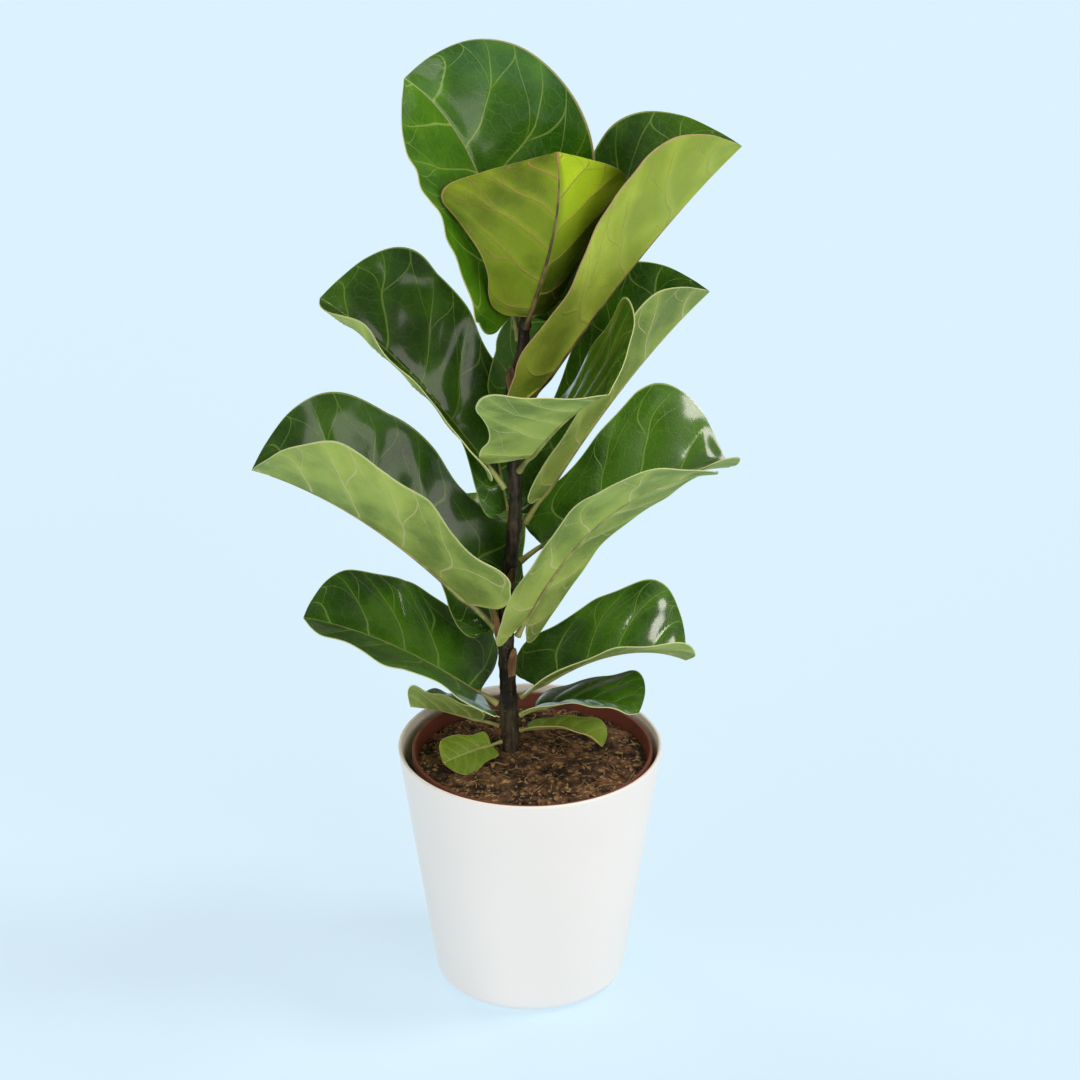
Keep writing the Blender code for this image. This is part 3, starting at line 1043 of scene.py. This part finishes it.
        # Small leaves have thinner stalks, down to about half as thick.
        scale = min(1.0, 0.45 + self.length / 220)
        for i in range(MIDRIB_STEPS + 1):
            distance = -self.stalk + (self.stalk + end) * i / MIDRIB_STEPS
            point, _, _, up = self.at(path, distance)
            if distance < 0:
                radius = scale * (STALK_RADIUS - STALK_TAPER * smooth(distance, -self.stalk, 0))
                flare = smooth(distance, -self.stalk + STALK_FOOT, -self.stalk)
                radius += scale * STALK_TAPER * flare
            else:
                radius = scale * (MIDRIB_RADIUS - MIDRIB_TAPER * (distance / end) ** 0.8)
            # The midrib's top lies in the groove, and the rest stands out below the blade.
            sink = (0.75 * radius + GROOVE) * smooth(distance, -6, 8)
            points.append(point - up * sink * MM)
            radii.append(radius * MM)
        return tube(self.name + "_stalk", points, radii, 3)

    def build(self, made: dict[str, bpy.types.Material]) -> None:
        """Args:
            made: The leaf materials by name.
        """
        path = self.path()
        blade = self.blade(path)
        look = self.age.value
        under = made[look.under.name]
        dress(blade, made[look.upper.name], under, under)
        solid = blade.modifiers.new("thickness", "SOLIDIFY")
        solid.thickness = BLADE_THICKNESS
        solid.offset = -1
        solid.material_offset = 1
        solid.material_offset_rim = 2
        apply_modifiers(blade)
        stalk = self.stalk_and_midrib(path)
        dress(stalk, made[look.stalk.name])
        soften(stalk, LEAF_EDGE)
        soften(blade, LEAF_EDGE)
        piece = join([blade, stalk], self.name + "_blade")
        declare(piece, look.slot, self.name)


LEAVES = [
    Leaf("leaf_top_left", node=485, heading=118, rise=70, length=180, width=160, stalk=20, droop=5,
         sweep=48, bend=2.2, left=22, right=8, curl=18, belly=1.8, age=Age.GROWN),
    Leaf("leaf_top_right", node=430, heading=20, rise=53, length=212, width=146, stalk=26, droop=13,
         left=30, right=47, curl=16, lobe=2.2, belly=1.15, age=Age.FRESH),
    Leaf("leaf_top_front", node=500, heading=-88, rise=78, length=122, width=154, stalk=10,
         droop=-45, sweep=-24, bend=3, lean=15, left=43, right=0, curl=6, lobe=0.4,
         belly=1.25, waist=0.5, age=Age.TENDER),
    Leaf("leaf_left_upper", node=375, heading=165, rise=53, length=164, width=132, stalk=20,
         droop=22, left=10, right=32, curl=18, lobe=0.4, waist=1.3),
    Leaf("leaf_right_upper", node=348, heading=18, rise=56, length=184, width=115, stalk=22,
         droop=16, left=34, right=42, curl=14, lobe=0.5, waist=0.75),
    Leaf("leaf_centre", node=392, heading=-60, rise=48, length=134, width=156, stalk=22, droop=18,
         left=38, right=0, curl=14, lobe=0.1, waist=0.8),
    Leaf("leaf_left_middle", node=268, heading=178, rise=47, length=182, width=148, stalk=25,
         droop=30, left=36, right=42, curl=18, lobe=0.9, belly=1.25, waist=1.3),
    Leaf("leaf_right_middle", node=318, heading=20, rise=32, length=146, width=138, stalk=20,
         droop=38, left=34, right=23, curl=8, lobe=0.3, waist=0.6),
    Leaf("leaf_right_inner", node=262, heading=-14, rise=66, length=192, width=110, stalk=16,
         droop=54, roll=-38, twist=11, left=0, right=-4, curl=6, lobe=2, waist=0.75),
    Leaf("leaf_left_lower", node=208, heading=185, rise=38, length=139, width=118, stalk=16,
         droop=24, left=0, right=14, curl=12, belly=1.8, waist=1.7),
    Leaf("leaf_right_lower", node=212, heading=8, rise=34, length=112, width=112, droop=62,
         left=28, right=26, curl=6, lobe=1.5),
    Leaf("leaf_right_low", node=200, heading=-20, rise=32, length=80, width=75, stalk=14, droop=54,
         left=2, right=16, curl=6),
    Leaf("leaf_right_small", node=188, heading=-25, rise=25, length=60, width=28, stalk=8,
         droop=60, left=20, right=25, wave=1, pucker=0.5, age=Age.SMALL),
    Leaf("leaf_front_small", node=179, heading=212, rise=0, length=40, width=34, stalk=8, droop=10,
         roll=-30, left=5, right=5, wave=1, pucker=0.5, lobe=0.3, belly=1.3, age=Age.SMALL),
    Leaf("leaf_back_low", node=188, heading=160, rise=10, length=54, width=60, stalk=14, droop=16,
         left=55, right=0, pucker=0.8),
    Leaf("leaf_back_left", node=240, heading=110, rise=44, length=110, width=90, stalk=24,
         droop=20, left=5, right=10),
    Leaf("leaf_back_middle", node=345, heading=110, rise=58, length=110, width=70, stalk=12,
         droop=20),
]
STEM = StemLine()


@dataclass(frozen=True)
class Foliage:
    """All the leaves, dressed from six blade finishes and two stalk finishes."""

    leaves: tuple[Leaf, ...] = tuple(LEAVES)

    def build(self) -> None:
        """Build every leaf in order."""
        finishes = [
            *(MATURE_UPPER, FRESH_UPPER, YOUNG_UPPER, MATURE_UNDER, YOUNG_UNDER, TENDER_UNDER),
            *(MATURE_STALK, YOUNG_STALK),
        ]
        made = {finish.name: finish.material() for finish in finishes}
        for leaf in self.leaves:
            leaf.build(made)


@dataclass(frozen=True)
class Stem:
    """The woody stem with its bud and the dry sheaths left at some of its nodes.

    bud_profile holds (radius, height) points and sheaths holds (height, heading, length, width)
    rows, in millimetres and degrees.
    """

    line: StemLine = STEM
    rings: int = 240
    ring_spacing: float = 9 * MM
    ring_height: float = 0.35 * MM
    inset: float = 0.2 * MM
    roughness: float = 0.35 * MM
    grain: float = 4 * MM
    bud_gap: float = 0.8 * MM
    bud_steps: int = 36
    bud_pleats: int = 5
    bud_pleat_depth: float = 0.05
    bud_twist: float = 18 * MM
    bud_profile: tuple[tuple[float, float], ...] = (
        (0, 26),
        (0.5, 25),
        (1.3, 21.5),
        (2.1, 17),
        (2.8, 12),
        (3.2, 8),
        (3.3, 5),
        (3.1, 2),
        (2.4, 0.2),
        (0, 0),
    )
    sheath_gap: float = 0.9 * MM
    sheath_thickness: float = 0.4 * MM
    sheath_lean: float = 3.5
    sheath_scoop: float = 0.5
    sheath_point: float = 2.2
    sheaths: tuple[tuple[float, float, float, float], ...] = (
        (232, -60, 24, 7),
        (262, 215, 26, 8),
        (300, -70, 18, 6),
        (452, -95, 20, 6),
    )

    def bark(self) -> bpy.types.Object:
        """Build the stem with scars round it and a rough skin.

        Returns:
            The stem.
        """
        heights = [
            self.line.foot + (self.line.tip - self.line.foot) * i / self.rings
            for i in range(self.rings + 1)
        ]
        radii = []
        for height in heights:
            scar = abs(sin(pi * height / self.ring_spacing)) ** 6 * self.ring_height
            radii.append(self.line.radius(height) + scar - self.inset)
        stem = tube("stem_bark", [self.line.centre(h) for h in heights], radii, 6)
        for vert in stem.data.vertices:
            centre = self.line.centre(min(max(vert.co.z, self.line.foot), self.line.tip))
            out = Vector((vert.co.x - centre.x, vert.co.y - centre.y, 0))
            # The skin is rough, more finely round the stem than along it.
            rough = noise.noise(Vector((vert.co.x, vert.co.y, vert.co.z * 0.4)) / self.grain)
            if out.length > 1 * MM:
                vert.co += out.normalized() * rough * self.roughness
        soften(stem, LEAF_EDGE)
        return stem

    def bud(self) -> bpy.types.Object:
        """Build the terminal bud, pointed and lightly pleated.

        Returns:
            The bud.
        """
        bud = spun("bud", [(r * MM, h * MM) for r, h in self.bud_profile], self.bud_steps)
        for vert in bud.data.vertices:
            turn = atan2(vert.co.y, vert.co.x) + vert.co.z / self.bud_twist
            scale = 1 + self.bud_pleat_depth * sin(self.bud_pleats * turn)
            vert.co.x *= scale
            vert.co.y *= scale
        bud.location = self.line.centre(self.line.tip) + UP * self.bud_gap
        settle(bud)
        soften(bud, GROWN_EDGE)
        return bud

    def sheath(
        self, height: float, heading: float, length: float, width: float
    ) -> bpy.types.Object:
        """Build one dry sheath: a pointed scoop standing against the stem.

        Args:
            height: Millimetres up the stem.
            heading: The side of the stem that it stands on, in degrees.
            length: Millimetres from its foot to its point.
            width: Millimetres across its widest part.

        Returns:
            The sheath.
        """
        deselect()
        bpy.ops.mesh.primitive_grid_add(x_subdivisions=8, y_subdivisions=16, size=2)
        obj = bpy.context.active_object
        obj.name = obj.data.name = "sheath"
        base = self.line.centre(height * MM)
        radius = self.line.radius(height * MM) + self.sheath_gap
        way = radians(heading)
        for vert in obj.data.vertices:
            across, along = vert.co.x, (vert.co.y + 1) / 2
            pointed = along**self.sheath_point
            wide = width / 2 * sqrt(max(0.0, 1 - pointed)) * (0.75 + 0.25 * sin(pi * along))
            turn = way + across * wide * MM / radius
            away = radius + (self.sheath_lean * pointed + self.sheath_scoop * across**2) * MM
            vert.co = base + Vector((cos(turn) * away, sin(turn) * away, along * length * MM))
        clean(obj)
        solid = obj.modifiers.new("thickness", "SOLIDIFY")
        solid.thickness = self.sheath_thickness
        apply_modifiers(obj)
        soften(obj, GROWN_EDGE)
        return obj

    def build(self) -> None:
        bark, dry = BARK.material(), DRY_SHEATH.material()
        stem, bud = self.bark(), self.bud()
        dress(stem, bark)
        declare(stem, "bark", "stem")
        sheaths = join([self.sheath(*row) for row in self.sheaths], "node_sheaths")
        dress(sheaths, dry)
        declare(sheaths, "bud_sheath")
        dress(bud, dry)
        declare(bud, "bud_sheath", "terminal_bud")


# ---------------------------------------------------------------- pots and soil


@dataclass(frozen=True)
class CoverPot:
    """The outer pot: one thin tapered wall with a rounded foot and a half-round rim.

    corner is the radius of the rounded foot, and taper how far the wall leans out, in degrees.
    """

    height: float = 182 * MM
    foot_radius: float = 57.5 * MM
    corner: float = 10 * MM
    wall: float = 2.6 * MM
    taper: float = 8.4
    steps: int = 160

    def wall_radius(self, height: float) -> float:
        """Find the outside radius of the wall at a height above its rounded corner."""
        lean = radians(self.taper)
        start = self.corner * (1 - sin(lean))
        return self.foot_radius + self.corner * cos(lean) + (height - start) * tan(lean)

    def build(self) -> None:
        centre = (self.foot_radius, self.corner)
        lip = self.wall / 2
        lip_centre = (self.wall_radius(self.height) - lip, self.height - lip)
        inner = arc(centre, self.corner - self.wall, -90, -self.taper, 10)
        rim = arc(lip_centre, lip, 180 - self.taper, -self.taper, 11)
        outer = arc(centre, self.corner, -self.taper, -90, 12)
        profile = [(0.0, self.wall), *inner, *rim, *outer, (0.0, 0.0)]
        pot = spun("cover_pot_shell", profile, self.steps)
        dress(pot, COVER_PLASTIC.material())
        soften(pot, TURNED_EDGE)
        declare(pot, "cover_pot", "cover_pot")


@dataclass(frozen=True)
class NurseryPot:
    """The inner pot that the plant grew in, with a lip, a ring foot and drain holes."""

    centre_x: float = 1.5 * MM
    wall: float = 1.2 * MM
    top: float = 178.5 * MM
    lip_radius: float = 85 * MM
    lip_width: float = 2.2 * MM
    lip_height: float = 6 * MM
    lip_round: float = 0.7 * MM
    foot_radius: float = 56 * MM
    foot_width: float = 4 * MM
    foot_height: float = 3.5 * MM
    cover_wall: float = 2.6 * MM
    gap: float = 0.3 * MM
    drain_count: int = 8
    drain_radius: float = 3.5 * MM
    drain_ring: float = 38 * MM
    drain_steps: int = 24
    steps: int = 144

    def floor(self) -> float:
        """Find the height of the floor, on its upper side."""
        return self.cover_wall + self.gap + self.foot_height + self.wall

    def inner_radius(self, height: float) -> float:
        """Find the inside radius of the straight wall at a height."""
        foot = self.foot_radius - self.wall
        top = self.lip_radius - self.lip_width
        return foot + (top - foot) * (height - self.floor()) / (self.top - self.floor())

    def build(self) -> None:
        foot = self.cover_wall + self.gap
        under = foot + self.foot_height
        lip_foot = self.top - self.lip_height
        edge = self.lip_round
        profile = [
            (0.0, self.floor()),
            (self.inner_radius(self.floor()), self.floor()),
            (self.inner_radius(self.top - edge), self.top - edge),
            *arc((self.inner_radius(self.top) + edge, self.top - edge), edge, 170, 90, 5),
            *arc((self.lip_radius - edge, self.top - edge), edge, 90, 0, 5),
            (self.lip_radius, lip_foot),
            (self.inner_radius(lip_foot) + self.wall, lip_foot),
            (self.foot_radius, foot),
            (self.foot_radius - self.foot_width, foot),
            (self.foot_radius - self.foot_width, under),
            (0.0, under),
        ]
        pot = spun("nursery_pot_shell", profile, self.steps, self.centre_x)
        drills = []
        for i in range(self.drain_count):
            turn = 2 * pi * i / self.drain_count
            deselect()
            bpy.ops.mesh.primitive_cylinder_add(
                vertices=self.drain_steps,
                radius=self.drain_radius,
                depth=4 * self.wall,
                location=(
                    self.centre_x + self.drain_ring * cos(turn),
                    self.drain_ring * sin(turn),
                    self.floor() - self.wall / 2,
                ),
            )
            drills.append(bpy.context.active_object)
        drill = join(drills, "drain_drill")
        cut = pot.modifiers.new("drains", "BOOLEAN")
        cut.operation = "DIFFERENCE"
        cut.solver = "EXACT"
        cut.object = drill
        apply_modifiers(pot)
        bpy.data.objects.remove(drill, do_unlink=True)
        dress(pot, NURSERY_PLASTIC.material())
        soften(pot, TURNED_EDGE)
        declare(pot, "nursery_pot", "nursery_pot")


@dataclass(frozen=True)
class Soil:
    """The peat in the nursery pot, with loose crumbs, bark chips and dry fibres on top.

    edge is the height of the bed at the pot's wall and mound how much higher its middle is. lump
    and grain are how rough it is, over spans of 14 and 4.5 mm. Sizes of loose bits are the
    smallest and largest radius in millimetres, and shapes how they are stretched.
    """

    pot: NurseryPot = field(default_factory=NurseryPot)
    edge: float = 168 * MM
    mound: float = 3 * MM
    lump: float = 1.2 * MM
    lump_span: float = 14 * MM
    grain: float = 1.1 * MM
    grain_span: float = 4.5 * MM
    grit_span: float = 1.9 * MM
    clearance: float = 0.4 * MM
    cells: int = 150
    depth: float = 40 * MM
    wall_gap: float = 4 * MM
    stem_gap: float = 10 * MM
    crumbs: int = 420
    crumb_sizes: tuple[float, float] = (0.7, 3.0)
    crumb_shape: tuple[float, float, float] = (1.0, 0.85, 0.7)
    chips: int = 130
    chip_sizes: tuple[float, float] = (1.6, 3.8)
    chip_shape: tuple[float, float, float] = (1.7, 0.7, 0.28)
    lump_tilt: float = 0.35
    lump_knock: float = 0.28
    fibres: int = 110
    fibre_length: tuple[float, float] = (5, 20)
    fibre_radius: tuple[float, float] = (0.2, 0.5)
    fibre_taper: tuple[float, ...] = (0.5, 1, 1, 0.9, 0.4)
    fibre_bend: float = 0.5
    fibre_gap: float = 2 * MM
    fibre_lift: float = 0.5 * MM
    fibre_arch: float = 0.8 * MM
    seed: int = 11

    def surface(self, x: float, y: float) -> float:
        """Find the soil's height at a place, measured from the nursery pot's axis."""
        rim = self.pot.inner_radius(self.edge)
        inward = max(0.0, 1 - (hypot(x, y) / rim) ** 2)
        spot = Vector((x, y, 0))
        calm = min(1.0, 4 * inward)
        lump = self.lump * noise.noise(spot / self.lump_span) * calm
        height = self.edge + self.mound * inward + lump
        height += self.grain * noise.noise(spot / self.grain_span)
        return height + 0.5 * self.grain * noise.noise(spot / self.grit_span)

    def bed(self) -> bpy.types.Object:
        """Build the bed: a rough round top drawn down into the pot.

        Returns:
            The closed bed.
        """
        deselect()
        cells = self.cells
        bpy.ops.mesh.primitive_grid_add(x_subdivisions=cells, y_subdivisions=cells, size=2)
        obj = bpy.context.active_object
        obj.name = obj.data.name = "soil_bed"
        rim = self.pot.inner_radius(self.edge) - self.clearance
        for vert in obj.data.vertices:
            # The square grid is drawn in to a round one.
            x, y = vert.co.x, vert.co.y
            disc_x, disc_y = x * sqrt(1 - y * y / 2), y * sqrt(1 - x * x / 2)
            vert.co = (disc_x * rim, disc_y * rim, self.surface(disc_x * rim, disc_y * rim))
        edit(obj, "VERT")
        bpy.ops.mesh.select_non_manifold()
        bpy.ops.mesh.extrude_edges_move(TRANSFORM_OT_translate={"value": (0, 0, -self.depth)})
        narrow = (self.pot.inner_radius(self.edge - self.depth) - self.clearance) / rim - 0.01
        bpy.ops.transform.resize(value=(narrow, narrow, 1), center_override=(0, 0, 0))
        bpy.ops.mesh.edge_face_add()
        bpy.ops.object.mode_set(mode="OBJECT")
        obj.location.x = self.pot.centre_x
        settle(obj)
        clean(obj)
        soften(obj, GROWN_EDGE)
        return obj

    def scatter_spot(self, rng: random.Random) -> Vector:
        """Pick a place on the soil, clear of the stem, that loose bits can lie on.

        Args:
            rng: The seeded source of chance.

        Returns:
            The point on the soil's surface.
        """
        rim = self.pot.inner_radius(self.edge) - self.wall_gap
        stem = STEM.centre(self.edge)
        while True:
            away, turn = rim * sqrt(rng.random()), 2 * pi * rng.random()
            x, y = away * cos(turn), away * sin(turn)
            place = Vector((x + self.pot.centre_x, y, self.surface(x, y)))
            if hypot(place.x - stem.x, place.y - stem.y) > self.stem_gap:
                return place

    def lumps(
        self,
        name: str,
        count: int,
        sizes: tuple[float, float],
        shape: tuple[float, float, float],
        rng: random.Random,
    ) -> bpy.types.Object:
        """Scatter copies of one rough lump.

        Args:
            name: The joined piece's name.
            count: How many lumps there are.
            sizes: The smallest and largest radius in millimetres.
            shape: How each is stretched along its own axes.
            rng: The seeded source of chance.

        Returns:
            The joined lumps.
        """
        deselect()
        bpy.ops.mesh.primitive_ico_sphere_add(subdivisions=1, radius=1)
        pattern = bpy.context.active_object
        copies = []
        for _ in range(count):
            copy = pattern.copy()
            copy.data = pattern.data.copy()
            bpy.context.scene.collection.objects.link(copy)
            size = rng.uniform(*sizes) * MM
            turn = Quaternion(UP, rng.uniform(0, 2 * pi))
            turn = turn @ Quaternion((1, 0, 0), rng.gauss(0, self.lump_tilt))
            place = self.scatter_spot(rng) + UP * 0.2 * size
            for vert in copy.data.vertices:
                knock = 1 + rng.uniform(-self.lump_knock, self.lump_knock)
                stretched = Vector([c * s for c, s in zip(vert.co, shape)]) * knock * size
                vert.co = place + turn @ stretched
            copies.append(copy)
        bpy.data.objects.remove(pattern, do_unlink=True)
        return join(copies, name)

    def straws(self, rng: random.Random) -> bpy.types.Object:
        """Scatter thin bent fibres.

        Args:
            rng: The seeded source of chance.

        Returns:
            The joined fibres.
        """
        made = []
        rim = self.pot.inner_radius(self.edge) - self.fibre_gap
        last = len(self.fibre_taper) - 1
        for _ in range(self.fibres):
            start = self.scatter_spot(rng)
            turn = rng.uniform(0, 2 * pi)
            length = rng.uniform(*self.fibre_length) * MM
            radius = rng.uniform(*self.fibre_radius) * MM
            curve = rng.gauss(0, self.fibre_bend)
            points = []
            for j in range(last + 1):
                way = turn + curve * j / last
                spot = start + Vector((cos(way), sin(way), 0)) * length * j / last
                x, y = spot.x - self.pot.centre_x, spot.y
                if hypot(x, y) > rim:
                    x, y = x * rim / hypot(x, y), y * rim / hypot(x, y)
                rise = self.fibre_lift + self.fibre_arch * sin(pi * j / last)
                points.append(Vector((x + self.pot.centre_x, y, self.surface(x, y) + rise)))
            made.append(tube("fibre", points, [radius * s for s in self.fibre_taper], 0))
        return join(made, "soil_fibres")

    def build(self) -> None:
        rng = random.Random(self.seed)
        peat = PEAT.material()
        bed = self.bed()
        dress(bed, peat)
        declare(bed, "soil", "soil")
        crumbs = self.lumps(
            "soil_crumbs", self.crumbs, self.crumb_sizes, self.crumb_shape, rng
        )
        dress(crumbs, peat)
        declare(crumbs, "soil")
        chips = self.lumps("soil_chips", self.chips, self.chip_sizes, self.chip_shape, rng)
        dress(chips, BARK_CHIP.material())
        declare(chips, "soil")
        straws = self.straws(rng)
        dress(straws, STRAW.material())
        declare(straws, "soil")


# ---------------------------------------------------------------- studio


@dataclass(frozen=True)
class Studio:
    """The pale floor, the soft lights and the camera.

    The camera aims at a point, in metres, from this distance and elevation in degrees.
    """

    aim: tuple[float, float, float] = (0.007, 0.0, 0.341)
    distance: float = 3.0
    elevation: float = 25.5
    lens: float = 144.93
    floor_size: float = 60.0
    floor_gap: float = 0.2 * MM
    floor_colour: str = "#7b8d99"
    glow_colour: str = "#daf0fd"
    floor_glow: float = 0.72
    sky_colour: str = "#fff6ea"
    sky: float = 0.26
    lamp_colour: tuple[float, float, float] = (1.0, 0.94, 0.87)
    # Each distant soft light: its name, the way it shines from, its softness in degrees, its
    # strength, and whether gloss mirrors it.
    lamps: tuple[tuple[str, tuple[float, float, float], float, float, bool], ...] = (
        ("overhead", (0.65, 0.0, 1.0), 18.0, 1.5, True),
        ("behind_left", (-0.35, 0.45, 0.9), 14.0, 0.35, True),
        ("front_right", (1.1, -1.5, 0.7), 44.0, 1.4, True),
        ("front_left", (-1.6, -1.0, 0.6), 60.0, 1.3, False),
    )

    def floor(self) -> None:
        """Lay the floor just below the pot. It is lit from below as well, so shadows stay faint."""
        deselect()
        bpy.ops.mesh.primitive_plane_add(size=self.floor_size, location=(0, 0, -self.floor_gap))
        floor = bpy.context.active_object
        floor.name = "floor"
        material, tree, shader = start_material("matt_backlit_acrylic")
        place = add(tree, "TexCoord", {}, {}).outputs["Object"]
        tooth = add(tree, "TexNoise", {}, {"Vector": place, "Scale": 300.0, "Detail": 2.0})
        height = tooth.outputs["Fac"]
        bump = add(tree, "Bump", {}, {"Strength": 0.02, "Distance": MM, "Height": height})
        connect(
            tree,
            shader,
            {
                "Base Color": linear(self.floor_colour),
                "Roughness": 0.9,
                "Specular IOR Level": 0.1,
                "Normal": bump.outputs[0],
                "Emission Color": linear(self.glow_colour),
                "Emission Strength": self.floor_glow,
            },
        )
        dress(floor, material)

    def lights(self) -> None:
        """Hang the soft lights and light the whole room evenly."""
        world = bpy.data.worlds.new("room")
        bpy.context.scene.world = world
        world.use_nodes = True
        sky = world.node_tree.nodes["Background"]
        sky.inputs["Color"].default_value = linear(self.sky_colour)
        sky.inputs["Strength"].default_value = self.sky
        for name, way, softness, strength, mirrored in self.lamps:
            deselect()
            bpy.ops.object.light_add(type="SUN", location=Vector(way))
            light = bpy.context.active_object
            light.name = name
            light.data.angle = radians(softness)
            light.data.energy = strength
            light.data.color = self.lamp_colour
            light.visible_glossy = mirrored
            light.rotation_euler = (-Vector(way)).to_track_quat("-Z", "Y").to_euler()

    def camera(self) -> None:
        """Set the camera in front of the plant, looking down at it."""
        lift = radians(self.elevation)
        place = Vector(self.aim) + self.distance * Vector((0, -cos(lift), sin(lift)))
        deselect()
        bpy.ops.object.camera_add(location=place, rotation=(pi / 2 - lift, 0, 0))
        camera = bpy.context.active_object
        camera.data.lens = self.lens
        camera.data.clip_end = 200
        bpy.context.scene.camera = camera

    def build(self) -> None:
        """Build the floor, the lights and the camera."""
        scene = bpy.context.scene
        scene.view_settings.view_transform = "Standard"
        self.floor()
        self.lights()
        self.camera()


def main() -> None:
    """Build every sub-assembly in order."""
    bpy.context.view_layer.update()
    Studio().build()
    for part in (CoverPot(), NurseryPot(), Soil(), Stem(), Foliage()):
        part.build()
        log.info("%s built", type(part).__name__)


if __name__ == "__main__":
    main()
